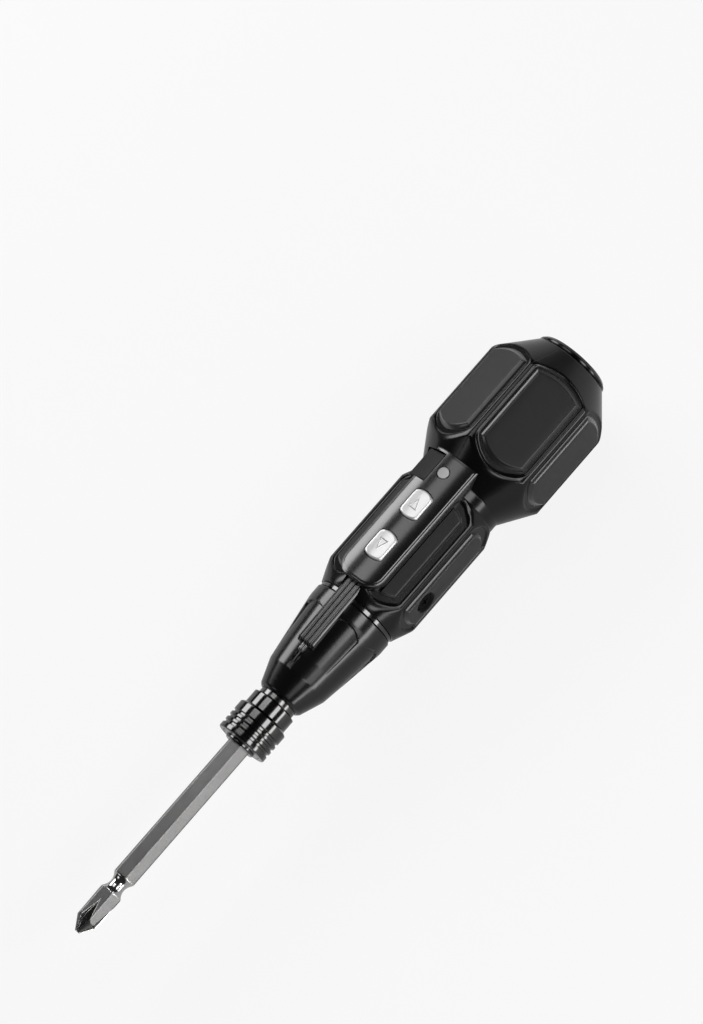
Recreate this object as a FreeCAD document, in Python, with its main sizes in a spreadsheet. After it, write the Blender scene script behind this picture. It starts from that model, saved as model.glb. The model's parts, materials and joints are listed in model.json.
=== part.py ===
import FreeCAD, Part
import math
import os

import Sketcher

# Cordless electric screwdriver, with its bit, gearbox, motor, battery and controls.
# X runs along the tool towards its tail, Z towards the buttons, and the origin is the chuck's mouth.

doc = FreeCAD.newDocument("electric_screwdriver")
sheet = doc.addObject("Spreadsheet::Sheet", "Sizes")

# Lengths in millimetres and angles in degrees, one cell each
sizes = {
    # clearances and overrun that many pieces share
    "cut_overrun": 3.0,
    "seat_gap": 0.05,
    "moving_gap": 0.12,
    # driver bit
    "bit_reach": 65.6,
    "bit_depth": 24.4,
    "hex_flats": 6.35,
    "bit_tip_radius": 0.75,
    "bit_cone_length": 4.4,
    "bit_flute_length": 10.4,
    "bit_flute_root": 0.62,
    "bit_flute_side": 5.0,
    "bit_head_length": 13.5,
    "bit_groove_length": 5.55,
    "bit_neck_radius": 2.25,
    "bit_corner_trim": 0.1,
    # spindle, its magnet and the clip that holds the bit
    "lip_length": 0.94,
    "lip_radius": 4.67,
    "lip_chamfer": 0.3,
    "spindle_radius": 4.5,
    "socket_gap": 0.06,
    "bit_end_play": 0.2,
    "magnet_radius": 2.9,
    "magnet_thickness": 2.0,
    "spindle_web": 1.2,
    "spindle_shoulder_radius": 5.4,
    "spindle_shoulder_length": 2.24,
    "bush_end_play": 0.2,
    "clip_ring_radius": 3.35,
    "clip_wire_radius": 0.45,
    "clip_angle": 300.0,
    # sliding collar, its spring and its ring
    "collar_length": 13.72,
    "collar_radius": 7.7,
    "collar_front_ridge": 1.62,
    "collar_ridge": 0.86,
    "collar_groove": 0.97,
    "collar_groove_depth": 0.47,
    "collar_groove_slope": 0.14,
    "collar_edge": 0.2,
    "collar_land": 2.73,
    "collar_taper": 0.76,
    "collar_rear_radius": 6.64,
    "collar_shoulder": 5.0,
    "collar_bore_radius": 6.15,
    "collar_ring_thickness": 1.0,
    "spring_radius": 5.35,
    "spring_wire_radius": 0.38,
    # ring and nose
    "washer_gap": 0.24,
    "washer_thickness": 1.66,
    "washer_radius": 5.64,
    "washer_edge": 0.3,
    "nose_front_radius": 6.9,
    "nose_rim": 0.7,
    "nose_tip_length": 7.4,
    "nose_crease_radius": 9.42,
    "nose_taper_length": 20.0,
    "nose_rear_radius": 12.4,
    "nose_band_length": 3.82,
    "nose_rear_edge": 0.5,
    "nose_spigot_radius": 11.25,
    "nose_spigot_length": 4.5,
    "panel_angle": 49.0,
    "panel_depth": 0.55,
    "panel_rear_setback": 5.4,
    "panel_length": 13.2,
    "seam_width": 1.12,
    "seam_radius": 12.0,
    # bush and gearbox
    "bush_setback": 0.5,
    "bush_length": 6.0,
    "bush_radius": 5.7,
    "gear_module": 0.4,
    "gear_width": 4.4,
    "gear_play": 0.4,
    "gear_backlash": 0.08,
    "planet_pin_radius": 0.8,
    "carrier_radius": 6.6,
    "carrier_chamber_gap": 0.5,
    "carrier_thickness": 2.3,
    "stage1_carrier_thickness": 1.6,
    "ring_gear_radius": 8.5,
    "plate_thickness": 1.6,
    # motor
    "motor_radius": 10.2,
    "motor_half_width": 7.7,
    "motor_length": 25.0,
    "motor_wall": 0.7,
    "motor_boss_radius": 3.0,
    "motor_boss_length": 1.3,
    "motor_shaft_radius": 1.0,
    "motor_bell_thickness": 1.8,
    "armature_radius": 6.7,
    "armature_setback": 4.2,
    "armature_end_room": 2.4,
    "commutator_radius": 2.6,
    "commutator_length": 3.4,
    "magnet_arc_inner": 7.6,
    "magnet_arc_angle": 80.0,
    "motor_screw_spread": 6.4,
    "motor_screw_radius": 0.9,
    "motor_screw_head_radius": 1.6,
    "motor_screw_head": 0.9,
    "motor_screw_bite": 1.6,
    "cradle_length": 13.0,
    "cradle_mouth": 6.2,
    "cradle_mouth_floor": 6.6,
    # handle
    "grip_front_radius": 12.51,
    "grip_front_cone": 6.35,
    "grip_corner_radius": 15.2,
    "grip_apothem": 13.32,
    "grip_flat_length": 29.67,
    "grip_rear_cone": 4.21,
    "grip_bore": 11.3,
    "neck_radius": 13.25,
    "neck_length": 2.7,
    "bulb_front_cone": 10.17,
    "bulb_corner_radius": 19.7,
    "bulb_apothem": 17.58,
    "bulb_flat_length": 26.66,
    "bulb_rear_cone": 10.26,
    "bulb_bore": 15.2,
    "bulb_bore_overhang": 1.0,
    "tail_radius": 11.24,
    "tail_bore": 9.85,
    "tail_bore_length": 1.9,
    "tail_cap_thickness": 1.63,
    "tail_cap_edge": 1.2,
    "tail_spigot_length": 3.5,
    # pads and the moats round them
    "moat_depth": 0.5,
    "pad_rise": 0.6,
    "pad_bevel": 0.6,
    "bulb_moat_half_width": 9.0,
    "bulb_moat_front_inset": 1.9,
    "bulb_moat_front_arch": 3.9,
    "bulb_moat_rear_outset": 0.34,
    "bulb_moat_rear_arch": 3.0,
    "bulb_pad_half_width": 7.0,
    "bulb_pad_front_inset": 2.1,
    "bulb_pad_front_arch": 1.9,
    "bulb_pad_rear_inset": 0.56,
    "bulb_pad_rear_arch": 1.4,
    "grip_moat_half_width": 6.5,
    "grip_moat_front_inset": 0.25,
    "grip_moat_front_arch": 3.2,
    "grip_moat_rear_inset": 0.52,
    "grip_moat_rear_arch": 3.5,
    "grip_pad_half_width": 4.8,
    "grip_pad_front_inset": 0.85,
    "grip_pad_front_arch": 1.8,
    "grip_pad_rear_inset": 1.27,
    "grip_pad_rear_arch": 2.05,
    # side screws
    "side_screw_setback": 13.1,
    "side_screw_seat": 12.3,
    "side_screw_hole_radius": 3.0,
    "side_screw_head_radius": 2.5,
    "side_screw_head": 1.1,
    "side_screw_radius": 1.1,
    "side_screw_length": 3.3,
    "cross_slot_width": 0.6,
    "cross_slot_length": 2.6,
    "cross_slot_depth": 0.6,
    # control strip, buttons and board
    "cover_setback": 3.5,
    "cover_length": 43.6,
    "cover_radius": 16.15,
    "cover_half_width": 7.1,
    "cover_wall": 1.5,
    "cover_front_round": 5.0,
    "cover_floor": 10.85,
    "button_setback": 11.9,
    "button_pitch": 14.6,
    "button_half_length": 4.45,
    "button_half_width": 3.07,
    "button_end_arch": 1.0,
    "button_rise": 0.5,
    "button_flange": 0.55,
    "button_flange_thickness": 0.8,
    "button_post_radius": 1.0,
    "button_travel": 0.5,
    "switch_half_width": 2.4,
    "switch_height": 0.85,
    "lens_setback": 37.8,
    "lens_radius": 1.6,
    "lens_rise": 0.15,
    "board_setback": 4.6,
    "board_length": 27.5,
    "board_half_width": 5.4,
    "board_thickness": 1.0,
    "board_tongue_length": 9.5,
    "board_tongue_edge": 1.9,
    # lamp and its lead cover
    "lamp_setback": 12.3,
    "lamp_radius": 1.0,
    "lamp_height": 10.5,
    "lamp_length": 1.3,
    "lamp_groove_length": 6.4,
    "lamp_groove_tip_radius": 0.5,
    "lamp_groove_margin": 0.2,
    "lamp_groove_drop": 0.95,
    "lead_cover_floor": 11.0,
    "lead_cover_front_half_width": 2.15,
    "lead_cover_rear_half_width": 2.7,
    "lead_cover_front_top": 12.26,
    "lead_cover_rear_top": 13.08,
    "lead_cover_bevel": 0.8,
    "lead_channel_half_width": 0.85,
    "lead_channel_floor": 10.7,
    "lead_channel_top": 11.55,
    "lamp_lead_radius": 0.28,
    "lamp_lead_spread": 0.42,
    "lamp_lead_height": 11.1,
    # charging port and its flap
    "port_setback": 37.75,
    "flap_length": 9.3,
    "flap_inner_edge": 5.2,
    "flap_outer_edge": 2.44,
    "flap_top": 15.3,
    "flap_thickness": 1.6,
    "flap_edge": 0.3,
    "flap_bead_radius": 0.4,
    "flap_bead_inset": 0.5,
    "port_boss_floor": 11.6,
    "port_half_length": 4.47,
    "port_half_height": 1.6,
    "port_shift": 1.4,
    "port_depth": 7.0,
    "port_wall": 0.35,
    "port_floor": 1.2,
    "port_tongue_half_length": 3.2,
    "port_tongue_half_height": 0.35,
    "port_tongue_reach": 4.6,
    "port_mouth_gap": 0.15,
    "charge_board_half_length": 5.6,
    "charge_board_inner_edge": 5.4,
    "charge_board_outer_edge": 2.5,
    "charge_board_thickness": 1.0,
    "charge_shelf_thickness": 1.2,
    "charge_shelf_width": 1.5,
    "charge_shelf_spread": 4.6,
    "charge_shelf_reach": 11.2,
    # battery and leads
    "cell_radius": 9.15,
    "cell_length": 35.0,
    "cell_setback": 6.17,
    "cell_edge": 0.6,
    "cell_rib_thickness": 1.5,
    "cell_rib_inset": 6.0,
    "tab_thickness": 0.3,
    "tab_reach": 3.0,
    "lead_radius": 0.5,
    "lead_spread": 2.6,
    "lead_slot_gap": 0.4,
    "motor_lead_spread": 2.4,
    "motor_lead_height": 6.0,
    "motor_lead_bend": 1.5,
    "charge_lead_spread": 2.0,
    "charge_lead_inset": 0.7,
}
for row, (alias, value) in enumerate(sizes.items(), start=1):
    sheet.set("A%d" % row, alias)
    sheet.set("B%d" % row, str(value))
    sheet.setAlias("B%d" % row, alias)
doc.recompute()

# Counts of teeth, planets, turns and facets
sun_teeth = 12
planet_teeth = 12
ring_teeth = 36
planet_count = 3
spring_turns = 4
facet_count = 6
facet_step = 360 / facet_count
pressure_angle = 25.0
addendum_share = 0.8
dedendum_share = 1.1


class Size:
    # A length that knows its value now and the expression that keeps it tied to the sheet
    def __init__(self, value, text):
        self.value = value
        self.text = text

    def join(self, other, sign, value):
        return Size(value, "(%s %s %s)" % (self.text, sign, other.text))

    def __add__(self, other):
        other = lift(other)
        return self.join(other, "+", self.value + other.value)

    def __sub__(self, other):
        other = lift(other)
        return self.join(other, "-", self.value - other.value)

    def __mul__(self, other):
        other = lift(other)
        return self.join(other, "*", self.value * other.value)

    def __truediv__(self, other):
        other = lift(other)
        return self.join(other, "/", self.value / other.value)

    def __neg__(self):
        return lift(0) - self


def lift(number):
    return number if isinstance(number, Size) else Size(float(number), "(%.12g)" % number)


class Sheet:
    # d.alias reads a cell
    def __getattr__(self, alias):
        return Size(float(sheet.get(alias)), "Sizes." + alias)


d = Sheet()
zero = lift(0)
along_x = FreeCAD.Vector(1, 0, 0)
no_shift = FreeCAD.Vector(0, 0, 0)


# Helpers that make one object of the document each

def bind(item, **properties):
    for name, size in properties.items():
        item.setExpression(name.replace("__", "."), size.text)
    return item


def turn(degrees):
    return FreeCAD.Placement(no_shift, FreeCAD.Rotation(along_x, degrees))


def spun(y, z, degrees):
    # where a point goes when the tool is turned about X
    cos, sin = math.cos(math.radians(degrees)), math.sin(math.radians(degrees))
    return y * cos - z * sin, y * sin + z * cos


def box(label, x0, x1, y0, y1, z0, z1, degrees=0):
    item = doc.addObject("Part::Box", label)
    y, z = spun(y0, z0, degrees)
    item.Placement = turn(degrees)
    bind(item, Length=x1 - x0, Width=y1 - y0, Height=z1 - z0)
    return bind(item, Placement__Base__x=x0, Placement__Base__y=y, Placement__Base__z=z)


def rod(label, x0, x1, radius, y=zero, z=zero):
    item = doc.addObject("Part::Cylinder", label)
    item.Placement = FreeCAD.Placement(no_shift, FreeCAD.Rotation(FreeCAD.Vector(0, 1, 0), 90))
    bind(item, Radius=radius, Height=x1 - x0)
    return bind(item, Placement__Base__x=x0, Placement__Base__y=y, Placement__Base__z=z)


def post(label, x, y, z, length, radius, degrees=0):
    # a round post that rises along Z, turned about X by the given angle
    item = doc.addObject("Part::Cylinder", label)
    item.Placement = turn(degrees)
    bind(item, Radius=radius, Height=length)
    return bind(item, Placement__Base__x=x, Placement__Base__y=y, Placement__Base__z=z)


# six flats along the tool's axis, with a corner to the top, or a flat where flat_up is true
def hexagon(label, x0, x1, flats_radius, flat_up=False):
    item = doc.addObject("Part::Prism", label)
    item.Polygon = facet_count
    lying = FreeCAD.Rotation(FreeCAD.Vector(0, 1, 0), 90)
    spun_by = FreeCAD.Rotation(FreeCAD.Vector(0, 0, 1), facet_step / 2 if flat_up else 0)
    item.Placement = FreeCAD.Placement(no_shift, lying.multiply(spun_by))
    bind(item, Circumradius=flats_radius / math.cos(math.pi / facet_count), Height=x1 - x0)
    return bind(item, Placement__Base__x=x0)


def cut(label, base, *tools):
    for number, tool in enumerate(tools):
        item = doc.addObject("Part::Cut", label if number == len(tools) - 1 else label + "_cut")
        item.Base, item.Tool = base, tool
        base = item
    return base


def fuse(label, *items):
    item = doc.addObject("Part::MultiFuse", label)
    item.Shapes = list(items)
    return item


def common(label, base, tool):
    item = doc.addObject("Part::Common", label)
    item.Base, item.Tool = base, tool
    return item


def group(label, *items):
    item = doc.addObject("Part::Compound", label)
    item.Links = list(items)
    return item


def shaped(label, shape):
    item = doc.addObject("Part::Feature", label)
    item.Shape = shape
    return item


def spot(point):
    return FreeCAD.Vector(point[0].value, point[1].value, 0)


def tie(sketch, geometry, end, point):
    for kind, size in zip(("DistanceX", "DistanceY"), point):
        number = sketch.addConstraint(Sketcher.Constraint(kind, -1, 1, geometry, end, size.value))
        if size is not zero:
            sketch.setExpression("Constraints[%d]" % number, size.text)


def draw(sketch, path):
    # Closes a loop of steps: (end,) is a line to that point, (middle, end) an arc through the middle
    ends = []
    for index, step in enumerate(path):
        start, end = spot(path[index - 1][-1]), spot(step[-1])
        swapped = False
        if len(step) == 1:
            curve = Part.LineSegment(start, end)
        else:
            middle = spot(step[0])
            swapped = (middle - start).cross(end - middle).z < 0
            curve = Part.Arc(end, middle, start) if swapped else Part.Arc(start, middle, end)
        number = sketch.addGeometry(curve)
        ends.append((number, 2, 1) if swapped else (number, 1, 2))
    for index, step in enumerate(path):
        (number, first, last), following = ends[index], ends[(index + 1) % len(path)]
        sketch.addConstraint(Sketcher.Constraint("Coincident", number, last, following[0], following[1]))
        tie(sketch, number, last, step[-1])
        if len(step) == 2:
            mark = sketch.addGeometry(Part.Point(spot(step[0])), True)
            tie(sketch, mark, 1, step[0])
            sketch.addConstraint(Sketcher.Constraint("PointOnObject", mark, 1, number))


def sketched(label, role, path, lifted=None):
    body = doc.addObject("PartDesign::Body", label)
    plane = [feature for feature in body.Origin.OriginFeatures if feature.Role == role][0]
    sketch = body.newObject("Sketcher::SketchObject", label + "_sketch")
    sketch.AttachmentSupport = [(plane, "")]
    sketch.MapMode = "FlatFace"
    if lifted is not None:
        bind(sketch, AttachmentOffset__Base__z=lifted)
    draw(sketch, path)
    return body, sketch


def polygon(*points):
    return [(point,) for point in points]


def turned(label, path, degrees=None, rotation=0):
    # a piece turned on the lathe about X, or a slice of one centred on +Z
    body, sketch = sketched(label, "XZ_Plane", path)
    feature = body.newObject("PartDesign::Revolution", label + "_turning")
    feature.Profile = sketch
    feature.ReferenceAxis = (sketch, ["H_Axis"])
    feature.Midplane = degrees is not None
    feature.Angle = 360
    if degrees is not None:
        bind(feature, Angle=degrees)
    body.Placement = turn(rotation)
    return body


def padded(label, path, bottom, height, rotation=0):
    # an outline in X and Y raised along Z, then turned about X
    body, sketch = sketched(label, "XY_Plane", path, bottom)
    feature = body.newObject("PartDesign::Pad", label + "_pad")
    feature.Profile = sketch
    bind(feature, Length=height)
    body.Placement = turn(rotation)
    return body


def dressed(body, kind, size, pick):
    # a fillet or chamfer on the edges of the faces that pick chooses, in the body's own frame
    doc.recompute()
    base = body.Tip
    names = ["Face%d" % (number + 1) for number, face in enumerate(base.Shape.Faces) if pick(face)]
    feature = body.newObject("PartDesign::" + kind, body.Label + "_" + kind.lower())
    feature.Base = (base, names)
    if kind == "Fillet":
        bind(feature, Radius=size)
    else:
        bind(feature, Size=size)
    return body


def is_top(face):
    # a flat face that looks up along the body's own Z
    return face.Surface.TypeId == "Part::GeomPlane" and face.normalAt(0, 0).z > 0.99


# Stations along the tool, each from the lengths before it

socket_end = d.bit_depth + d.bit_end_play
magnet_end = socket_end + d.magnet_thickness
spindle_rear = magnet_end + d.spindle_web
carrier_front = spindle_rear - d.carrier_thickness
shoulder_front = carrier_front - d.spindle_shoulder_length
planet2_front = spindle_rear + d.gear_play
planet2_rear = planet2_front + d.gear_width
carrier1_front = planet2_rear + d.gear_play
carrier1_rear = carrier1_front + d.stage1_carrier_thickness
planet1_front = carrier1_rear + d.gear_play
planet1_rear = planet1_front + d.gear_width
ring_front = spindle_rear + d.gear_play / 2
ring_rear = planet1_rear + d.gear_play
plate_rear = ring_rear + d.plate_thickness
motor_rear = plate_rear + d.motor_length
bell_rear = motor_rear + d.motor_bell_thickness
armature_front = plate_rear + d.armature_setback
armature_rear = motor_rear - d.armature_end_room - d.commutator_length

# the bush stands before the spindle's shoulder, and the nose, washer and collar before the bush
bush_rear = shoulder_front - d.bush_end_play
bush_front = bush_rear - d.bush_length
nose_front = bush_front - d.bush_setback
washer_front = nose_front - d.washer_thickness
collar_rear = washer_front - d.washer_gap
collar_front = collar_rear - d.collar_length

nose_crease = nose_front + d.nose_tip_length
nose_band = nose_crease + d.nose_taper_length
nose_rear = nose_band + d.nose_band_length
spigot_end = nose_rear + d.nose_spigot_length
grip_front = nose_rear + d.seam_width
grip_flat_front = grip_front + d.grip_front_cone
grip_flat_rear = grip_flat_front + d.grip_flat_length
neck_front = grip_flat_rear + d.grip_rear_cone
neck_rear = neck_front + d.neck_length
bulb_flat_front = neck_rear + d.bulb_front_cone
bulb_flat_rear = bulb_flat_front + d.bulb_flat_length
bulb_rear = bulb_flat_rear + d.bulb_rear_cone
tail_end = bulb_rear + d.tail_cap_thickness

cover_front = grip_front + d.cover_setback
cover_rear = cover_front + d.cover_length
forward_x = cover_front + d.button_setback
reverse_x = forward_x + d.button_pitch
lens_x = cover_front + d.lens_setback
port_x = cover_front + d.port_setback
board_front = cover_front + d.board_setback
board_rear = board_front + d.board_length
tongue_rear = board_rear + d.board_tongue_length
board_floor = d.cover_floor
board_top = board_floor + d.board_thickness
side_screw_x = grip_front + d.side_screw_setback
cell_front = neck_rear + d.cell_setback
cell_rear = cell_front + d.cell_length
lamp_rear = nose_front + d.lamp_setback + d.lamp_radius + d.lamp_length
lead_cover_front = lamp_rear + d.seat_gap
lead_cover_rear = cover_front - d.seat_gap


# Driver bit: half of it is shaped, then mirrored about its middle

def bit_half():
    tip = -d.bit_reach
    middle = (d.bit_depth - d.bit_reach) / 2
    corner = d.hex_flats / 2 / math.cos(math.pi / facet_count)
    outside = corner - d.bit_corner_trim
    head = tip + d.bit_head_length
    groove_end = head + d.bit_groove_length
    profile = turned("bit_profile", [
        ((tip, zero),),
        ((tip, d.bit_tip_radius),),
        ((tip + d.bit_cone_length, outside),),
        ((head, outside),),
        ((head + d.bit_groove_length / 2, d.bit_neck_radius), (groove_end, outside)),
        ((middle, outside),),
        ((middle, zero),),
    ])
    half = common("bit_hexagon", profile, hexagon("bit_stock", tip, middle, d.hex_flats / 2))
    flutes = []
    run = math.hypot(d.bit_flute_length.value, outside.value - d.bit_flute_root.value)
    tilt = math.degrees(math.atan2(outside.value - d.bit_flute_root.value, d.bit_flute_length.value))
    for quarter in range(4):
        # a square bar on its edge, whose edge climbs from the tip's root to the outside
        flute = Part.makeBox(2 * run, d.bit_flute_side.value, d.bit_flute_side.value)
        flute.rotate(no_shift, along_x, 45)
        flute.translate(FreeCAD.Vector(-run / 2, 0, 0))
        flute.rotate(no_shift, FreeCAD.Vector(0, 1, 0), -tilt)
        flute.translate(FreeCAD.Vector(tip.value, 0, d.bit_flute_root.value))
        flute.rotate(no_shift, along_x, 90 * quarter + 45)
        flutes.append(shaped("bit_flute", flute))
    return cut("bit_half", half, *flutes), middle


def driver_bit():
    half, middle = bit_half()
    other = doc.addObject("Part::Mirroring", "bit_inner_half")
    other.Source = half
    other.Normal = along_x
    bind(other, Base__x=middle)
    bit = fuse("driver_bit", half, other)
    # a quarter turn brings a flat to the top, as the socket has it
    bit.Placement = turn(90)
    return bit


# Spindle, with its hex socket, magnet seat, clip groove and the pins of the second stage

def around(count, start=0):
    return [start + 360 / count * number for number in range(count)]


def orbit(angle):
    # a planet's centre, seen along X with the angle from +Y towards +Z
    distance = d.gear_module * (sun_teeth + planet_teeth) / 2
    return distance * math.cos(math.radians(angle)), distance * math.sin(math.radians(angle))


def planet_pins(label, x0, x1):
    pins = []
    for angle in around(planet_count):
        y, z = orbit(angle)
        pins.append(rod(label + "_pin", x0, x1, d.planet_pin_radius, y, z))
    return pins


def clip_station():
    return d.bit_depth - d.bit_head_length - d.bit_groove_length / 2


def spindle():
    stock = turned("spindle_stock", polygon(
        (zero, zero),
        (zero, d.lip_radius - d.lip_chamfer),
        (d.lip_chamfer, d.lip_radius),
        (d.lip_length, d.lip_radius),
        (d.lip_length, d.spindle_radius),
        (shoulder_front, d.spindle_radius),
        (shoulder_front, d.spindle_shoulder_radius),
        (carrier_front, d.spindle_shoulder_radius),
        (carrier_front, d.carrier_radius),
        (spindle_rear, d.carrier_radius),
        (spindle_rear, zero),
    ))
    socket = hexagon("bit_socket", -d.cut_overrun, socket_end, d.hex_flats / 2 + d.socket_gap, True)
    magnet_seat = rod("magnet_seat", socket_end - d.seat_gap, magnet_end, d.magnet_radius + d.seat_gap)
    clip_half = d.clip_wire_radius + d.seat_gap
    clip_groove = rod("clip_groove", clip_station() - clip_half, clip_station() + clip_half,
                      d.clip_ring_radius + clip_half)
    body = cut("spindle_body", stock, socket, magnet_seat, clip_groove)
    pin_start = spindle_rear - d.carrier_thickness / 4
    return fuse("spindle", body, *planet_pins("spindle", pin_start, planet2_rear + d.gear_play / 2))


def bit_magnet():
    return rod("bit_magnet", socket_end, magnet_end, d.magnet_radius)


def bit_clip():
    item = doc.addObject("Part::Torus", "bit_clip")
    item.Placement = FreeCAD.Placement(no_shift, FreeCAD.Rotation(FreeCAD.Vector(0, 1, 0), 90))
    bind(item, Radius1=d.clip_ring_radius, Radius2=d.clip_wire_radius, Angle3=d.clip_angle)
    return bind(item, Placement__Base__x=clip_station())


# Collar: ridged outside, with a spring chamber that opens to the front

collar_inner_shoulder = collar_rear - d.collar_shoulder


def chuck_collar():
    groove_floor = d.collar_radius - d.collar_groove_depth
    outside = [
        (collar_front, d.collar_bore_radius),
        (collar_front, d.collar_radius - d.collar_edge),
        (collar_front + d.collar_edge, d.collar_radius),
    ]
    x = collar_front + d.collar_front_ridge
    for ridge in (d.collar_ridge, d.collar_ridge, d.collar_land):
        end = x + d.collar_groove
        outside += [
            (x, d.collar_radius),
            (x + d.collar_groove_slope, groove_floor),
            (end - d.collar_groove_slope, groove_floor),
            (end, d.collar_radius),
        ]
        x = end + ridge
    outside += [
        (x, d.collar_radius),
        (x + d.collar_taper, d.collar_rear_radius),
        (collar_rear - d.collar_edge, d.collar_rear_radius),
        (collar_rear, d.collar_rear_radius - d.collar_edge),
        (collar_rear, d.spindle_radius + d.seat_gap),
        (collar_inner_shoulder, d.spindle_radius + d.seat_gap),
        (collar_inner_shoulder, d.collar_bore_radius),
    ]
    return turned("chuck_collar", polygon(*outside))


def ring(label, x0, x1, inner, outer):
    return turned(label, polygon((x0, inner), (x0, outer), (x1, outer), (x1, inner)))


def collar_ring():
    rear = d.lip_length + d.collar_ring_thickness
    return ring("collar_ring", d.lip_length, rear, d.spindle_radius + d.seat_gap,
                d.collar_bore_radius - d.moving_gap)


def biarc(start, start_way, end, end_way):
    # two arcs that leave one point and reach the next along the given directions
    span = end - start
    ways = start_way + end_way
    a = 2 * (1 - start_way.dot(end_way))
    b = 2 * span.dot(ways)
    reach = (math.sqrt(b * b + 4 * a * span.dot(span)) - b) / (2 * a)
    corner1 = start + start_way * reach
    corner2 = end - end_way * reach
    joint = (corner1 + corner2) * 0.5
    edges = []
    for first, corner, last in ((start, corner1, joint), (joint, corner2, end)):
        half = (last - first) * 0.5
        rise = corner - (first + half)
        angle = math.atan2(rise.Length, half.Length)
        rise.normalize()
        middle = first + half + rise * (half.Length * math.tan(angle / 2))
        edges.append(Part.Arc(first, middle, last).toShape())
    return edges


def collar_spring():
    radius, wire = d.spring_radius.value, d.spring_wire_radius.value
    front = d.lip_length.value + d.collar_ring_thickness.value + wire + d.seat_gap.value
    length = collar_inner_shoulder.value - wire - d.seat_gap.value - front
    angles = [math.radians(90 * quarter) for quarter in range(4 * spring_turns + 1)]
    climb = length / angles[-1]

    def point(angle):
        return FreeCAD.Vector(front + climb * angle, radius * math.cos(angle), radius * math.sin(angle))

    def way(angle):
        direction = FreeCAD.Vector(climb, -radius * math.sin(angle), radius * math.cos(angle))
        return direction.normalize()

    edges = []
    for first, last in zip(angles, angles[1:]):
        edges += biarc(point(first), way(first), point(last), way(last))
    section = Part.Wire([Part.Circle(point(0), way(0), wire).toShape()])
    coil = Part.Wire(edges).makePipeShell([section], True, False)
    samples = [point(angles[-1] * share / 400) for share in range(401)]
    turn_samples = 400 // spring_turns
    gap = min(a.distanceToPoint(b) for number, a in enumerate(samples)
              for b in samples[number + turn_samples // 2:]) - 2 * wire
    print("collar spring: least gap between turns %.2f mm" % gap)
    return shaped("collar_spring", coil)


# Gears with involute teeth

def involute_face(teeth, tip_share, root_share, thinning, start_degrees):
    # Each flank runs from the root to the tip: at a radius the tooth's half angle is its half angle at
    # the pitch circle plus the involute function there, less the involute function at that radius
    pitch = d.gear_module.value * teeth / 2
    base = pitch * math.cos(math.radians(pressure_angle))
    tip = pitch + tip_share * d.gear_module.value
    root = pitch - root_share * d.gear_module.value
    half_pitch = math.pi / (2 * teeth) - thinning / (2 * pitch)
    at_pitch = math.tan(math.radians(pressure_angle)) - math.radians(pressure_angle)

    def half_angle(radius):
        angle = math.acos(min(1.0, base / radius))
        return half_pitch + at_pitch - (math.tan(angle) - angle)

    def point(radius, angle):
        return FreeCAD.Vector(0, radius * math.cos(angle), radius * math.sin(angle))

    low = max(base, root)
    radii = [low + (tip - low) * share / 4 for share in range(5)]
    edges = []
    for tooth in range(teeth):
        centre = math.radians(start_degrees) + 2 * math.pi * tooth / teeth
        following = centre + 2 * math.pi / teeth
        rising = [point(radius, centre - half_angle(radius)) for radius in radii]
        falling = [point(radius, centre + half_angle(radius)) for radius in reversed(radii)]
        foot = half_angle(low)
        if root < low:
            edges.append(Part.LineSegment(point(root, centre - foot), rising[0]).toShape())
        for flank in (rising, falling):
            curve = Part.BSplineCurve()
            curve.interpolate(flank)
            edges.append(curve.toShape())
            if flank is rising:
                edges.append(Part.Arc(rising[-1], point(tip, centre), falling[0]).toShape())
        if root < low:
            edges.append(Part.LineSegment(falling[-1], point(root, centre + foot)).toShape())
        edges.append(Part.Arc(point(min(root, low), centre + foot),
                              point(min(root, low), centre + math.pi / teeth),
                              point(min(root, low), following - foot)).toShape())
    return Part.Face(Part.Wire(Part.__sortEdges__(edges)))


def gear(label, teeth, x0, x1, start_degrees, bore=None, y=zero, z=zero):
    thinning = d.gear_backlash.value / 2
    face = involute_face(teeth, addendum_share, dedendum_share, thinning, start_degrees)
    solid = face.extrude(FreeCAD.Vector(x1.value - x0.value, 0, 0))
    if bore is not None:
        solid = solid.cut(Part.makeCylinder(bore.value, x1.value - x0.value, no_shift, along_x))
    item = shaped(label, solid)
    item.Placement = FreeCAD.Placement(FreeCAD.Vector(x0.value, y.value, z.value), FreeCAD.Rotation())
    return item


def planet(label, angle, x0, x1):
    # a gap faces the sun's tooth, and another faces the ring's tooth
    y, z = orbit(angle)
    start = angle + 180 + 180 / planet_teeth
    return gear(label, planet_teeth, x0, x1, start, d.planet_pin_radius + d.seat_gap, y, z)


def ring_gear():
    blank = rod("ring_blank", ring_front, ring_rear - d.seat_gap, d.ring_gear_radius)
    x0, x1 = ring_front.value - d.cut_overrun.value, ring_rear.value + d.cut_overrun.value
    thinning = -d.gear_backlash.value / 2
    face = involute_face(ring_teeth, dedendum_share, addendum_share, thinning, 180 / ring_teeth)
    spaces = shaped("ring_spaces", face.extrude(FreeCAD.Vector(x1 - x0, 0, 0)))
    spaces.Placement = FreeCAD.Placement(FreeCAD.Vector(x0, 0, 0), FreeCAD.Rotation())
    return cut("ring_gear", blank, spaces)


def stage1_carrier():
    disc = rod("stage1_disc", carrier1_front, carrier1_rear, d.carrier_radius)
    sun = gear("stage2_sun", sun_teeth, planet2_front - d.gear_play / 2, carrier1_front + d.gear_play, 0)
    pins = planet_pins("stage1", carrier1_front + d.gear_play, planet1_rear + d.gear_play / 2)
    return fuse("stage1_carrier", disc, sun, *pins)


def spindle_bush():
    return ring("spindle_bush", bush_front, bush_rear, d.spindle_radius + d.seat_gap, d.bush_radius)


def motor_screw_places():
    return [(zero, d.motor_screw_spread), (zero, -d.motor_screw_spread)]


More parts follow.
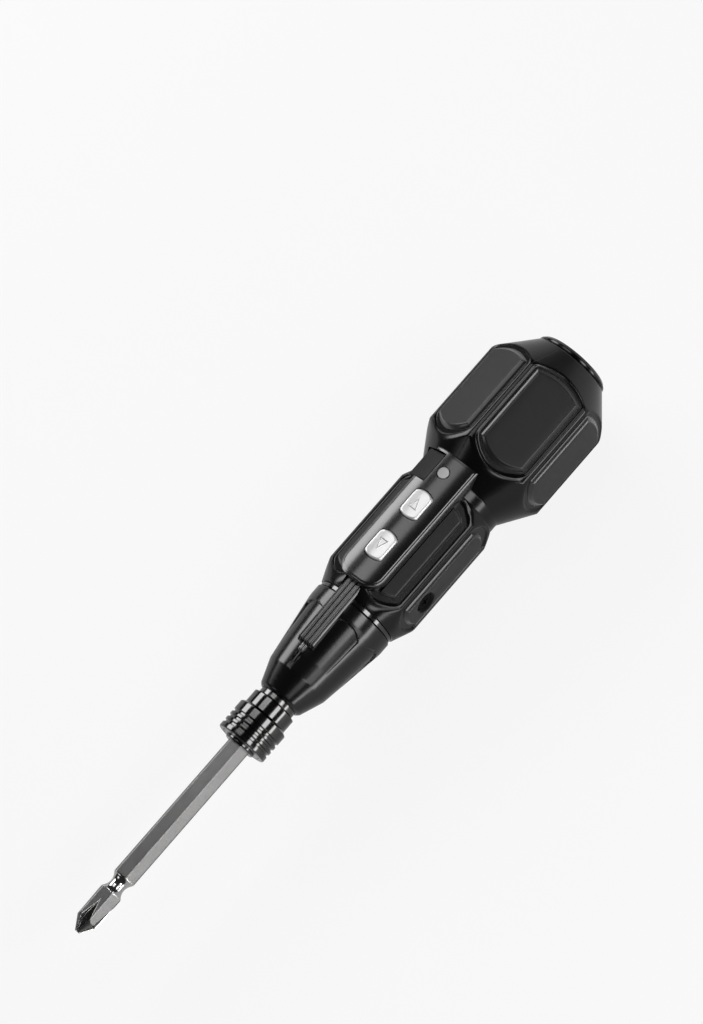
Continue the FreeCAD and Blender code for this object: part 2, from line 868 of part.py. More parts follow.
def gearbox_plate():
    blank = rod("plate_blank", ring_rear, plate_rear, d.motor_radius)
    tools = [rod("plate_bore", ring_rear - d.cut_overrun, plate_rear + d.cut_overrun,
                 d.motor_boss_radius + d.seat_gap)]
    for y, z in motor_screw_places():
        tools.append(rod("plate_hole", ring_rear - d.cut_overrun, plate_rear + d.cut_overrun,
                         d.motor_screw_radius + d.seat_gap, y, z))
        tools.append(rod("plate_sink", ring_rear - d.cut_overrun, ring_rear + d.motor_screw_head + d.seat_gap,
                         d.motor_screw_head_radius + d.seat_gap, y, z))
    return cut("gearbox_plate", blank, *tools)


def motor_screws():
    screws = []
    for y, z in motor_screw_places():
        seat = ring_rear + d.seat_gap + d.motor_screw_head
        head = rod("motor_screw_head", ring_rear + d.seat_gap, seat, d.motor_screw_head_radius, y, z)
        shank = rod("motor_screw_shank", seat - d.seat_gap, plate_rear + d.motor_screw_bite,
                    d.motor_screw_radius, y, z)
        screws.append(fuse("motor_screw", head, shank))
    return group("motor_screws", *screws)


# Motor: a flattened can with its magnets, rotor and end bell, and the cradle behind the nose

def motor_form(label, x0, x1, extra):
    # the round can with two flats, grown or shrunk all round
    half = d.motor_half_width + extra
    reach = d.motor_radius + extra
    round_form = rod(label + "_round", x0, x1, reach)
    return common(label, round_form, box(label + "_flats", x0, x1, -half, half, -reach, reach))


def motor_can():
    shell = motor_form("motor_outside", plate_rear, motor_rear, zero)
    boss = rod("motor_boss", plate_rear - d.motor_boss_length, plate_rear + d.motor_wall / 2,
               d.motor_boss_radius)
    inside = motor_form("motor_inside", plate_rear + d.motor_wall, motor_rear + d.cut_overrun, -d.motor_wall)
    tools = [inside, rod("motor_bearing", plate_rear - d.cut_overrun, plate_rear + d.cut_overrun,
                         d.motor_shaft_radius + d.seat_gap)]
    for y, z in motor_screw_places():
        tools.append(rod("motor_screw_hole", plate_rear - d.seat_gap, plate_rear + d.cut_overrun,
                         d.motor_screw_radius + d.seat_gap, y, z))
    return cut("motor_can", fuse("motor_shell", shell, boss), *tools)


def motor_magnets():
    outer = d.motor_radius - d.motor_wall - d.seat_gap
    arcs = []
    for rotation in (0, 180):
        arcs.append(turned("motor_magnet", polygon(
            (armature_front, d.magnet_arc_inner),
            (armature_front, outer),
            (armature_rear, outer),
            (armature_rear, d.magnet_arc_inner),
        ), d.magnet_arc_angle, rotation))
    return group("motor_magnets", *arcs)


def motor_armature():
    commutator_rear = armature_rear + d.commutator_length
    bore = d.motor_shaft_radius + d.seat_gap / 2
    return turned("motor_armature", polygon(
        (armature_front, bore),
        (armature_front, d.armature_radius),
        (armature_rear, d.armature_radius),
        (armature_rear, d.commutator_radius),
        (commutator_rear, d.commutator_radius),
        (commutator_rear, bore),
    ))


def motor_shaft():
    return rod("motor_shaft", planet1_front - d.gear_play / 2, bell_rear - d.motor_bell_thickness / 2,
               d.motor_shaft_radius)


def motor_pinion():
    return gear("motor_pinion", sun_teeth, planet1_front - d.gear_play / 2, planet1_rear + d.gear_play / 2, 0,
                d.motor_shaft_radius + d.seat_gap / 2)


def motor_end_bell():
    bell = motor_form("bell_form", motor_rear, bell_rear, zero)
    hole = rod("bell_bearing", motor_rear - d.cut_overrun, bell_rear - d.motor_bell_thickness / 3,
               d.motor_shaft_radius + d.seat_gap)
    return cut("motor_end_bell", bell, hole)


def motor_cradle():
    front = spigot_end + d.seat_gap
    rear = front + d.cradle_length
    blank = rod("cradle_blank", front, rear, d.grip_bore - d.seat_gap)
    reach = d.grip_bore + d.cut_overrun
    hollow = motor_form("cradle_hollow", front - d.cut_overrun, rear + d.cut_overrun, d.seat_gap)
    mouth = box("cradle_mouth_cut", front - d.cut_overrun, rear + d.cut_overrun, -d.cradle_mouth,
                d.cradle_mouth, d.cradle_mouth_floor, reach)
    holes = [post("cradle_hole", side_screw_x, zero, zero, reach, d.side_screw_radius + d.seat_gap, side)
             for side in (90, -90)]
    return cut("motor_cradle", blank, hollow, mouth, *holes)


# Nose: a turned cone with six sunk panels, the lamp's seat and the slot for the lead cover

def lead_cover_plan(label, gap, floor, height):
    front, rear = lead_cover_front - gap, lead_cover_rear + gap
    narrow, wide = d.lead_cover_front_half_width + gap, d.lead_cover_rear_half_width + gap
    plan = polygon((front, -narrow), (rear, -wide), (rear, wide), (front, narrow))
    return padded(label, plan, floor, height)


def lead_slot(label):
    reach = d.lead_cover_rear_top - d.lead_cover_floor + d.cut_overrun
    slot = lead_cover_plan(label + "_plan", d.seat_gap, d.lead_cover_floor - d.seat_gap, reach)
    channel = box(label + "_channel", lead_cover_front - d.lamp_radius, lead_cover_rear + d.cut_overrun,
                  -d.lead_channel_half_width, d.lead_channel_half_width, d.lead_channel_floor,
                  d.lead_channel_top)
    return fuse(label, slot, channel)


def nose_panels():
    rear = nose_rear - d.panel_rear_setback
    front = rear - d.panel_length
    slope = (d.nose_rear_radius - d.nose_crease_radius) / d.nose_taper_length
    at_front = d.nose_crease_radius + (front - nose_crease) * slope
    at_rear = d.nose_crease_radius + (rear - nose_crease) * slope
    panels = []
    for angle in around(facet_count, facet_step / 2):
        panels.append(turned("nose_panel", polygon(
            (front, at_front),
            (rear, at_rear - d.panel_depth),
            (rear, at_rear + d.cut_overrun),
            (front, at_front + d.cut_overrun),
        ), d.panel_angle, angle))
    return panels


def lamp_groove():
    # a tapering groove that leads the light forward over the nose
    item = doc.addObject("Part::Cone", "lamp_groove")
    tilt = math.degrees(math.atan2(d.lamp_groove_drop.value, d.lamp_groove_length.value))
    item.Placement = FreeCAD.Placement(no_shift, FreeCAD.Rotation(FreeCAD.Vector(0, 1, 0), 90 - tilt))
    bind(item, Radius1=d.lamp_groove_tip_radius, Radius2=d.lamp_radius - d.lamp_groove_margin,
         Height=d.lamp_groove_length)
    return bind(item, Placement__Base__x=nose_front + d.lamp_setback + d.lamp_radius - d.lamp_groove_length,
                Placement__Base__z=d.lamp_height - d.lamp_groove_drop)


def nose_cone(slot):
    stock = turned("nose_stock", polygon(
        (nose_front, d.bush_radius + d.seat_gap),
        (nose_front, d.nose_front_radius - d.nose_rim),
        (nose_front + d.nose_rim, d.nose_front_radius),
        (nose_crease, d.nose_crease_radius),
        (nose_band, d.nose_rear_radius),
        (nose_rear - d.nose_rear_edge, d.nose_rear_radius),
        (nose_rear, d.nose_rear_radius - d.nose_rear_edge),
        (nose_rear, d.nose_spigot_radius),
        (spigot_end, d.nose_spigot_radius),
        (spigot_end, d.motor_radius + d.seat_gap),
        (ring_rear - d.seat_gap, d.motor_radius + d.seat_gap),
        (ring_rear - d.seat_gap, d.ring_gear_radius + d.seat_gap),
        (ring_front - d.seat_gap, d.ring_gear_radius + d.seat_gap),
        (ring_front - d.seat_gap, d.carrier_radius + d.carrier_chamber_gap),
        (bush_rear, d.carrier_radius + d.carrier_chamber_gap),
        (bush_rear, d.bush_radius + d.seat_gap),
    ))
    seat_front = nose_front + d.lamp_setback + d.lamp_radius
    seat = rod("lamp_seat", seat_front - d.lamp_radius, lead_cover_front, d.lamp_radius + d.seat_gap,
               zero, d.lamp_height)
    return cut("nose_cone", stock, slot, seat, lamp_groove(), group("nose_panels", *nose_panels()))


def work_led():
    middle = nose_front + d.lamp_setback + d.lamp_radius
    dome = doc.addObject("Part::Sphere", "lamp_dome")
    bind(dome, Radius=d.lamp_radius, Placement__Base__x=middle, Placement__Base__z=d.lamp_height)
    return fuse("work_led", dome, rod("lamp_body", middle, lamp_rear, d.lamp_radius, zero, d.lamp_height))


def lead_cover():
    plan = lead_cover_plan("lead_cover_plan", zero, d.lead_cover_floor,
                           d.lead_cover_rear_top - d.lead_cover_floor + d.cut_overrun)
    side, sketch = sketched("lead_cover_side", "XZ_Plane", polygon(
        (lead_cover_front, d.lead_cover_floor - d.cut_overrun),
        (lead_cover_front, d.lead_cover_front_top - d.lead_cover_bevel),
        (lead_cover_front + d.lead_cover_bevel, d.lead_cover_front_top),
        (lead_cover_rear, d.lead_cover_rear_top),
        (lead_cover_rear, d.lead_cover_floor - d.cut_overrun),
    ))
    feature = side.newObject("PartDesign::Pad", "lead_cover_width")
    feature.Profile = sketch
    feature.Midplane = True
    bind(feature, Length=d.lead_cover_rear_half_width * 4)
    channel = box("lead_cover_channel", lead_cover_front - d.cut_overrun, lead_cover_rear + d.cut_overrun,
                  -d.lead_channel_half_width, d.lead_channel_half_width, d.lead_channel_floor,
                  d.lead_channel_top)
    return cut("lead_cover", common("lead_cover_form", plan, side), channel)


# Handle: a turned form trimmed by two hexagons, moats for the pads, and a hollow inside

def arched(front, front_arch, rear, rear_arch, half_width):
    # straight sides and bowed ends, as a cone meets a flat facet
    return [
        ((rear, -half_width),),
        ((rear + rear_arch, zero), (rear, half_width)),
        ((front, half_width),),
        ((front - front_arch, zero), (front, -half_width)),
    ]


def bulb_moat_path():
    return arched(bulb_flat_front + d.bulb_moat_front_inset, d.bulb_moat_front_arch,
                  bulb_flat_rear + d.bulb_moat_rear_outset, d.bulb_moat_rear_arch, d.bulb_moat_half_width)


def bulb_pad_path():
    return arched(bulb_flat_front + d.bulb_pad_front_inset, d.bulb_pad_front_arch,
                  bulb_flat_rear - d.bulb_pad_rear_inset, d.bulb_pad_rear_arch, d.bulb_pad_half_width)


def grip_moat_path():
    return arched(grip_flat_front + d.grip_moat_front_inset, d.grip_moat_front_arch,
                  grip_flat_rear - d.grip_moat_rear_inset, d.grip_moat_rear_arch, d.grip_moat_half_width)


def grip_pad_path():
    return arched(grip_flat_front + d.grip_pad_front_inset, d.grip_pad_front_arch,
                  grip_flat_rear - d.grip_pad_rear_inset, d.grip_pad_rear_arch, d.grip_pad_half_width)


def facet_angles():
    return around(facet_count, facet_step / 2)


def handle_form():
    grip = turned("grip_turned", polygon(
        (grip_front, zero),
        (grip_front, d.grip_front_radius),
        (grip_flat_front, d.grip_corner_radius),
        (grip_flat_rear, d.grip_corner_radius),
        (neck_front, d.neck_radius),
        (neck_rear, d.neck_radius),
        (neck_rear, zero),
    ))
    bulb = turned("bulb_turned", polygon(
        (neck_rear, zero),
        (neck_rear, d.neck_radius),
        (bulb_flat_front, d.bulb_corner_radius),
        (bulb_flat_rear, d.bulb_corner_radius),
        (bulb_rear, d.tail_radius),
        (bulb_rear, zero),
    ))
    grip = common("grip_form", grip, hexagon("grip_hexagon", grip_front, neck_rear, d.grip_apothem))
    bulb = common("bulb_form", bulb, hexagon("bulb_hexagon", neck_rear, bulb_rear, d.bulb_apothem))
    boss = box("port_boss", port_x - d.flap_length / 2, port_x + d.flap_length / 2, -d.flap_inner_edge,
               d.flap_outer_edge, d.port_boss_floor, flap_floor - d.seat_gap, port_turn)
    return fuse("handle_form", grip, bulb, boss)


def handle_hollow():
    rear = bulb_rear - d.tail_bore_length
    return turned("handle_hollow", polygon(
        (grip_front - d.cut_overrun, zero),
        (grip_front - d.cut_overrun, d.grip_bore),
        (neck_rear, d.grip_bore),
        (bulb_flat_front, d.bulb_bore),
        (bulb_flat_rear + d.bulb_bore_overhang, d.bulb_bore),
        (rear, d.tail_bore),
        (bulb_rear + d.cut_overrun, d.tail_bore),
        (bulb_rear + d.cut_overrun, zero),
    ))


def cell_ribs():
    # two rings that hold the battery cell, with a slot for its lead
    ribs = []
    for x in (cell_front + d.cell_rib_inset, cell_rear - d.cell_rib_inset - d.cell_rib_thickness):
        rib = ring("cell_rib", x, x + d.cell_rib_thickness, d.cell_radius + d.seat_gap,
                   d.bulb_bore + d.moat_depth)
        slot = box("cell_rib_slot", x - d.cut_overrun, x + d.cell_rib_thickness + d.cut_overrun,
                   -d.lead_spread - d.lead_radius - d.lead_slot_gap,
                   -d.lead_spread + d.lead_radius + d.lead_slot_gap,
                   lead_height - d.lead_radius - d.lead_slot_gap,
                   lead_height + d.lead_radius + d.lead_slot_gap)
        ribs.append(cut("cell_rib_slotted", rib, slot))
    return ribs


def charge_shelves():
    # two ledges on the left shell that carry the charging board
    shelves = []
    for x in (port_x - d.charge_shelf_spread, port_x + d.charge_shelf_spread):
        shelves.append(box("charge_shelf", x - d.charge_shelf_width / 2, x + d.charge_shelf_width / 2,
                           zero, d.charge_shelf_reach, charge_board_floor - d.charge_shelf_thickness,
                           charge_board_floor, port_turn))
    return shelves


port_turn = -facet_step / 2
flap_floor = d.flap_top - d.flap_thickness
port_mouth = flap_floor - d.seat_gap
charge_board_top = port_mouth - d.port_depth
charge_board_floor = charge_board_top - d.charge_board_thickness
lead_height = board_floor + d.board_thickness / 2


def cover_plan(gap):
    # the strip seen from above: square at the rear, rounded corners in front
    front, rear, half = cover_front - gap, cover_rear + gap, d.cover_half_width + gap
    bend = d.cover_front_round + gap
    bow = bend * (1 - math.sqrt(0.5))
    return [
        ((rear, -half),),
        ((rear, half),),
        ((front + bend, half),),
        ((front + bow, half - bow), (front, half - bend)),
        ((front, bend - half),),
        ((front + bow, bow - half), (front + bend, -half)),
    ]


def port_window(label, gap):
    return padded(label, stadium(d.port_half_length + gap, d.port_half_height + gap),
                  charge_board_top - d.seat_gap, d.port_depth + d.cut_overrun, port_turn)


def flap_room(label):
    # the flap's seat, with room beside its hinge edge for the flap to swing over
    half = d.flap_length / 2 + d.moving_gap
    swing = d.flap_outer_edge + d.flap_thickness + d.moving_gap * 2
    return box(label, port_x - half, port_x + half, -d.flap_inner_edge - d.moving_gap, swing,
               flap_floor - d.seat_gap, d.flap_top + d.cut_overrun, port_turn)


def flap_bead(label, gap):
    # the round bead along the flap's outer edge, on which it turns
    half = d.flap_length / 2 - d.flap_bead_inset + gap
    y, z = spun(d.flap_outer_edge, flap_floor, port_turn)
    return rod(label, port_x - half, port_x + half, d.flap_bead_radius + gap, y, z)


def stadium(half_length, half_height):
    # a slot with round ends, centred on the charging port
    bend = half_height
    low, high = -d.port_shift - half_height, half_height - d.port_shift
    return [
        ((port_x + half_length - bend, low),),
        ((port_x + half_length, -d.port_shift), (port_x + half_length - bend, high)),
        ((port_x - half_length + bend, high),),
        ((port_x - half_length, -d.port_shift), (port_x - half_length + bend, low)),
    ]


def side_screw_holes(radius, start):
    return [post("side_screw_hole", side_screw_x, zero - start * math.sin(math.radians(side)), zero,
                 d.grip_apothem + d.cut_overrun - start, radius, side) for side in (90, -90)]


def housings(slot):
    moats = []
    for angle in facet_angles():
        moats.append(padded("grip_moat", grip_moat_path(), d.grip_apothem - d.moat_depth,
                            d.moat_depth + d.cut_overrun, angle))
        moats.append(padded("bulb_moat", bulb_moat_path(), d.bulb_apothem - d.moat_depth,
                            d.moat_depth + d.cut_overrun, angle))
    pocket = padded("cover_pocket", cover_plan(d.seat_gap), d.cover_floor - d.seat_gap,
                    d.cover_radius + d.cut_overrun - d.cover_floor)
    tools = [group("moats", *moats), pocket, slot, handle_hollow(), flap_room("flap_seat")]
    tools.append(flap_bead("flap_bead_seat", d.moving_gap))
    tools.append(port_window("port_clearance", d.port_mouth_gap))
    tools += side_screw_holes(d.side_screw_radius + d.moving_gap, d.grip_bore - d.cut_overrun)
    tools += side_screw_holes(d.side_screw_hole_radius, d.side_screw_seat)
    shell = cut("handle_shell", handle_form(), *tools)
    shell = fuse("handle_ribbed", shell, *cell_ribs(), *charge_shelves())
    reach = d.bulb_corner_radius + d.cut_overrun
    front, rear = grip_front - d.cut_overrun, bulb_rear + d.cut_overrun
    left = common("housing_left", shell, box("left_half", front, rear, zero, reach, -reach, reach))
    right = common("housing_right", shell, box("right_half", front, rear, -reach, zero, -reach, reach))
    return [left, right]


def seam_ring(slot):
    blank = ring("seam_blank", nose_rear, grip_front, d.nose_spigot_radius + d.seat_gap, d.seam_radius)
    return cut("seam_ring", blank, slot)


def pads():
    made = []
    height = d.moat_depth + d.pad_rise
    wall = d.cover_half_width + d.seat_gap + d.moving_gap
    for number, angle in enumerate(facet_angles(), start=1):
        bulb = padded("bulb_pad_%d" % number, bulb_pad_path(), d.bulb_apothem - d.moat_depth, height, angle)
        made.append(dressed(bulb, "Chamfer", d.pad_bevel, is_top))
        grip = padded("grip_pad_stock_%d" % number, grip_pad_path(), d.grip_apothem - d.moat_depth,
                      height, angle)
        dressed(grip, "Chamfer", d.pad_bevel, is_top)
        tools = []
        if abs(math.sin(math.radians(angle))) > 0.99:
            tools = side_screw_holes(d.side_screw_hole_radius, d.side_screw_seat)
        elif math.cos(math.radians(angle)) > 0:
            # the two pads beside the strip stop at its side walls
            tools = [box("strip_clearance", grip_front, neck_rear, -wall, wall, zero,
                         d.cover_radius + d.cut_overrun)]
        grip = cut("grip_pad_%d" % number, grip, *tools)
        grip.Label = "grip_pad_%d" % number
        made.append(grip)
    return made


def tail_cap():
    edge = d.tail_cap_edge
    bow = edge * (1 - math.sqrt(0.5))
    front = bulb_rear - d.tail_spigot_length
    return turned("tail_cap", [
        ((front, zero),),
        ((front, d.tail_bore - d.seat_gap),),
        ((bulb_rear, d.tail_bore - d.seat_gap),),
        ((bulb_rear, d.tail_radius),),
        ((tail_end - edge, d.tail_radius),),
        ((tail_end - bow, d.tail_radius - bow), (tail_end, d.tail_radius - edge)),
        ((tail_end, zero),),
    ])


def housing_screws():
    screws = []
    for side in (90, -90):
        out = -math.sin(math.radians(side))
        seat = d.side_screw_seat + d.seat_gap
        head = post("screw_head", side_screw_x, seat * out, zero, d.side_screw_head,
                    d.side_screw_head_radius, side)
        shank = post("screw_shank", side_screw_x, (seat - d.side_screw_length) * out, zero,
                     d.side_screw_length + d.side_screw_head / 2, d.side_screw_radius, side)
        top = seat + d.side_screw_head
        floor = top - d.cross_slot_depth
        slots = []
        long, wide = d.cross_slot_length, d.cross_slot_width
        for along, across in ((long, wide), (wide, long)):
            slots.append(box("screw_cross", side_screw_x - along / 2, side_screw_x + along / 2,
                             -across / 2, across / 2, floor, top + d.cut_overrun, side))
        screws.append(cut("housing_screw", fuse("screw_form", head, shank), *slots))
    return group("housing_screws", *screws)


# Control strip with its buttons, lens, board and switches

def button_plan(x, gap):
    half_length, half_width = d.button_half_length + gap, d.button_half_width + gap
    shoulder = half_length - d.button_end_arch
    return [
        ((x + shoulder, -half_width),),
        ((x + half_length, zero), (x + shoulder, half_width)),
        ((x - shoulder, half_width),),
        ((x - half_length, zero), (x - shoulder, -half_width)),
    ]


switch_top = board_top + d.switch_height
flange_floor = switch_top + d.button_travel + d.seat_gap * 2
flange_top = flange_floor + d.button_flange_thickness


def control_cover():
    outer = common("cover_outside",
                   padded("cover_plan", cover_plan(zero), d.cover_floor, d.cover_radius - d.cover_floor),
                   rod("cover_round", cover_front, cover_rear, d.cover_radius))
    inner = common("cover_inside",
                   padded("cover_inner_plan", cover_plan(-d.cover_wall), d.cover_floor - d.cut_overrun,
                          d.cover_radius + d.cut_overrun - d.cover_floor),
                   rod("cover_inner_round", cover_front, cover_rear, d.cover_radius - d.cover_wall))
    rise = d.cover_radius + d.cut_overrun - d.cover_floor
    holes = []
    for x in (forward_x, reverse_x):
        holes.append(padded("button_hole", button_plan(x, d.moving_gap), flange_top, rise))
    holes.append(post("lens_hole", lens_x, zero, board_top, rise, d.lens_radius + d.seat_gap))
    holes.append(flap_room("flap_notch"))
    holes.append(port_window("cover_port_window", d.port_mouth_gap))
    holes.append(box("lead_door", cover_front - d.cut_overrun, cover_front + d.cover_wall + d.cut_overrun,
                     -d.lead_channel_half_width, d.lead_channel_half_width, d.cover_floor - d.cut_overrun,
                     d.lead_channel_top))
    lead_room = d.lead_radius + d.lead_slot_gap
    holes.append(box("rear_lead_door", cover_rear - d.cover_wall - d.cut_overrun, cover_rear + d.cut_overrun,
                     -d.lead_spread - lead_room, lead_room,
                     d.cover_floor - d.cut_overrun, lead_height + lead_room))
    return cut("control_cover", outer, inner, *holes)


def button(label, x):
    top = d.cover_radius + d.button_rise
    reach = d.button_half_length + d.button_flange
    stock = padded(label + "_plan", button_plan(x, zero), flange_floor, top - flange_floor)
    cap = common(label + "_cap", stock, rod(label + "_round", x - reach, x + reach, top))
    flange = padded(label + "_flange", button_plan(x, d.button_flange), flange_floor,
                    d.button_flange_thickness)
    stem_floor = board_top + d.button_travel + d.seat_gap * 2
    stem = post(label + "_stem", x, zero, stem_floor, flange_top - stem_floor, d.button_post_radius)
    return fuse(label, cap, flange, stem)


def button_switches():
    switches = []
    for x in (forward_x, reverse_x):
        half = d.switch_half_width
        block = box("switch_block", x - half, x + half, -half, half, board_top, switch_top)
        bore = post("switch_bore", x, zero, board_top - d.cut_overrun,
                    switch_top - board_top + d.cut_overrun * 2, d.button_post_radius + d.moving_gap)
        switches.append(cut("button_switch", block, bore))
    return group("button_switches", *switches)


def indicator_lens():
    top = d.cover_radius + d.lens_rise
    pin = post("lens_pin", lens_x, zero, board_top, top - board_top, d.lens_radius)
    crown = rod("lens_round", lens_x - d.lens_radius, lens_x + d.lens_radius, top)
    return common("indicator_lens", pin, crown)


def control_board():
    half = d.board_half_width
    main = box("board_main", board_front, board_rear, -half, half, board_floor, board_top)
    tongue = box("board_tongue", board_rear - d.board_thickness, tongue_rear, -half, d.board_tongue_edge,
                 board_floor, board_top)
    return fuse("control_board", main, tongue)


# Charging port, its board and its flap, turned with the facet beside the strip

def charge_port():
    shell = padded("port_shell", stadium(d.port_half_length, d.port_half_height), charge_board_top,
                   d.port_depth, port_turn)
    mouth = padded("port_hollow", stadium(d.port_half_length - d.port_wall, d.port_half_height - d.port_wall),
                   charge_board_top + d.port_floor, d.port_depth, port_turn)
    tongue = box("port_tongue", port_x - d.port_tongue_half_length, port_x + d.port_tongue_half_length,
                 -d.port_shift - d.port_tongue_half_height, d.port_tongue_half_height - d.port_shift,
                 charge_board_top + d.port_floor / 2, charge_board_top + d.port_floor + d.port_tongue_reach,
                 port_turn)
    return fuse("charge_port", cut("port_socket", shell, mouth), tongue)


def charge_board():
    return box("charge_board", port_x - d.charge_board_half_length, port_x + d.charge_board_half_length,
               -d.charge_board_inner_edge, d.charge_board_outer_edge, charge_board_floor, charge_board_top,
               port_turn)


def port_cover():
    half = d.flap_length / 2
    flap = padded("flap_plate", polygon(
        (port_x - half, -d.flap_inner_edge),
        (port_x + half, -d.flap_inner_edge),
        (port_x + half, d.flap_outer_edge),
        (port_x - half, d.flap_outer_edge),
    ), flap_floor, d.flap_thickness, port_turn)
    flap = dressed(flap, "Chamfer", d.flap_edge, is_top)
    return fuse("port_cover", flap, flap_bead("flap_bead", zero))


# Battery cell, its tabs and all leads

def battery_cell():
    edge = d.cell_edge
    return turned("battery_cell", polygon(
        (cell_front, zero),
        (cell_front, d.cell_radius - edge),
        (cell_front + edge, d.cell_radius),
        (cell_rear - edge, d.cell_radius),
        (cell_rear, d.cell_radius - edge),
        (cell_rear, zero),
    ))


def lead_tracks():
    # the rear lead runs beside the front one
    return -d.lead_spread, d.lead_spread - d.lead_spread


def battery_tabs():
    top = lead_height + d.lead_radius
    tabs = []
    for y, x in zip(lead_tracks(), (cell_rear, cell_front - d.tab_thickness)):
        edge = d.lead_spread / 2 - d.tab_thickness
        tabs.append(box("battery_tab", x, x + d.tab_thickness, y - edge, y + edge, -d.tab_reach, top))
    return group("battery_tabs", *tabs)


def power_leads():
    rear_track, front_track = lead_tracks()
    leads = [
        rod("rear_lead", tongue_rear, cell_rear, d.lead_radius, rear_track, lead_height),
        rod("front_lead", tongue_rear, cell_front - d.tab_thickness, d.lead_radius, front_track, lead_height),
    ]
    # two short leads rise from the charging board to the tongue of the control board
    track = d.charge_lead_inset - d.charge_board_inner_edge
    cos, sin = math.cos(math.radians(port_turn)), math.sin(math.radians(port_turn))
    base_y, base_z = spun(track, charge_board_top, port_turn)
    length = (board_floor - base_z + d.lead_radius * sin) / cos - d.seat_gap
    for x in (port_x - d.charge_lead_spread, port_x + d.charge_lead_spread):
        leads.append(post("charge_lead", x, base_y, base_z, length, d.lead_radius, port_turn))
    return group("power_leads", *leads)


def lamp_leads():
    return group("led_leads", *[
        rod("led_lead", lamp_rear, board_front, d.lamp_lead_radius, y, d.lamp_lead_height)
        for y in (-d.lamp_lead_spread, d.lamp_lead_spread)])


def motor_leads():
    leads = []
    for y in (-d.motor_lead_spread.value, d.motor_lead_spread.value):
        x, z, bend = bell_rear.value, d.motor_lead_height.value, d.motor_lead_bend.value
        bow = bend * math.sqrt(0.5)
        start = FreeCAD.Vector(x, y, z)
        bend_start = FreeCAD.Vector(x + bend, y, z)
        bend_middle = FreeCAD.Vector(x + bend + bow, y, z + bend - bow)
        bend_end = FreeCAD.Vector(x + 2 * bend, y, z + bend)
        end = FreeCAD.Vector(x + 2 * bend, y, board_floor.value)
        route = Part.Wire([
            Part.LineSegment(start, bend_start).toShape(),
            Part.Arc(bend_start, bend_middle, bend_end).toShape(),
            Part.LineSegment(bend_end, end).toShape(),
        ])
        section = Part.Wire([Part.Circle(start, along_x, d.lead_radius.value).toShape()])
        leads.append(shaped("motor_lead", route.makePipeShell([section], True, False)))
    return group("motor_leads", *leads)


def thrust_washer():
    edge = d.washer_edge
    bore = d.spindle_radius + d.moving_gap
    return turned("thrust_washer", polygon(
        (washer_front, bore),
        (washer_front, d.washer_radius - edge),
        (washer_front + edge, d.washer_radius),
        (nose_front, d.washer_radius),
        (nose_front, bore),
    ))


# The whole tool, one object for each node

lead_slot_cutter = lead_slot("lead_slot")
nodes = housings(lead_slot_cutter) + pads()
nodes += [nose_cone(lead_slot_cutter), seam_ring(lead_slot_cutter), lead_cover(), control_cover(), tail_cap()]
nodes += [button("forward_button", forward_x), button("reverse_button", reverse_x), button_switches()]
nodes += [indicator_lens(), control_board(), charge_port(), charge_board(), port_cover()]
nodes += [housing_screws(), battery_cell(), battery_tabs(), power_leads(), motor_leads(), lamp_leads()]
nodes += [work_led(), thrust_washer(), spindle_bush(), ring_gear(), gearbox_plate(), motor_screws()]
nodes += [motor_can(), motor_magnets(), motor_armature(), motor_shaft(), motor_pinion(), motor_end_bell()]
nodes += [motor_cradle(), stage1_carrier()]
for planet_number, planet_angle in enumerate(around(planet_count), start=1):
    nodes.append(planet("stage1_planet_%d" % planet_number, planet_angle, planet1_front, planet1_rear))
    nodes.append(planet("stage2_planet_%d" % planet_number, planet_angle, planet2_front, planet2_rear))
nodes += [spindle(), bit_magnet(), bit_clip(), chuck_collar(), collar_ring(), collar_spring(), driver_bit()]

doc.recompute()
for item in doc.Objects:
    if "Invalid" in item.State or "Error" in item.State:
        raise RuntimeError("%s did not build: %s" % (item.Label, item.State))
for node in nodes:
    if node.Shape.isNull() or not node.Shape.isValid():
        raise RuntimeError("%s has no valid shape" % node.Label)

os.makedirs("parts", exist_ok=True)
for node in nodes:
    node.Shape.exportStep(os.path.join("parts", node.Label + ".step"))
print("%d nodes written" % len(nodes))
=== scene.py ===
import bpy
import bmesh
import json
import math
import numpy as np
from mathutils import Matrix, Vector


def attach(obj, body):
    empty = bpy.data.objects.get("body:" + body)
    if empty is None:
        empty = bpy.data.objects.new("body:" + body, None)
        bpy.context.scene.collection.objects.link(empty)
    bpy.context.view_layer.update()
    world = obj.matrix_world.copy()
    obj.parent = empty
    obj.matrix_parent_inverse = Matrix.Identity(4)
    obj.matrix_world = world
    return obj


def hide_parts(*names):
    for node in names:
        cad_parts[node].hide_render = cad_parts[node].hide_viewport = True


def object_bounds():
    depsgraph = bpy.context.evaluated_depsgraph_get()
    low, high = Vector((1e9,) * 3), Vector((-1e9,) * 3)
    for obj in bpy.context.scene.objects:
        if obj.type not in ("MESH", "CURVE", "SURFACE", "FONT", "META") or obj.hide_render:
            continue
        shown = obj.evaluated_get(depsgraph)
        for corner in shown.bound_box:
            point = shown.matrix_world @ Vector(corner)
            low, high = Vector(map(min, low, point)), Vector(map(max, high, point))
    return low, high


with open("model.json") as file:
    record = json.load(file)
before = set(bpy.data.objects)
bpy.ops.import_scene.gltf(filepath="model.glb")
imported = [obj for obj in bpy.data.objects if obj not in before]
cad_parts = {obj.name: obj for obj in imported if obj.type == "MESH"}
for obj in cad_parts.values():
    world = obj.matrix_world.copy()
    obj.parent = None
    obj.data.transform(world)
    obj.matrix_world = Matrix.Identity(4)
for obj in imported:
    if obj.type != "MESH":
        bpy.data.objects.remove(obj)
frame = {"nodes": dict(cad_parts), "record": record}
cadBox = [list(corner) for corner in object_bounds()]
scene = bpy.context.scene
scene.view_settings.view_transform = "Standard"
mm = 0.001      # sizes below are in millimetres, the frame is in metres
weld = 0.0005   # points closer than this, in millimetres, become one
bowLimit = 1.4  # past this share of the half width a bowed end goes on as it is
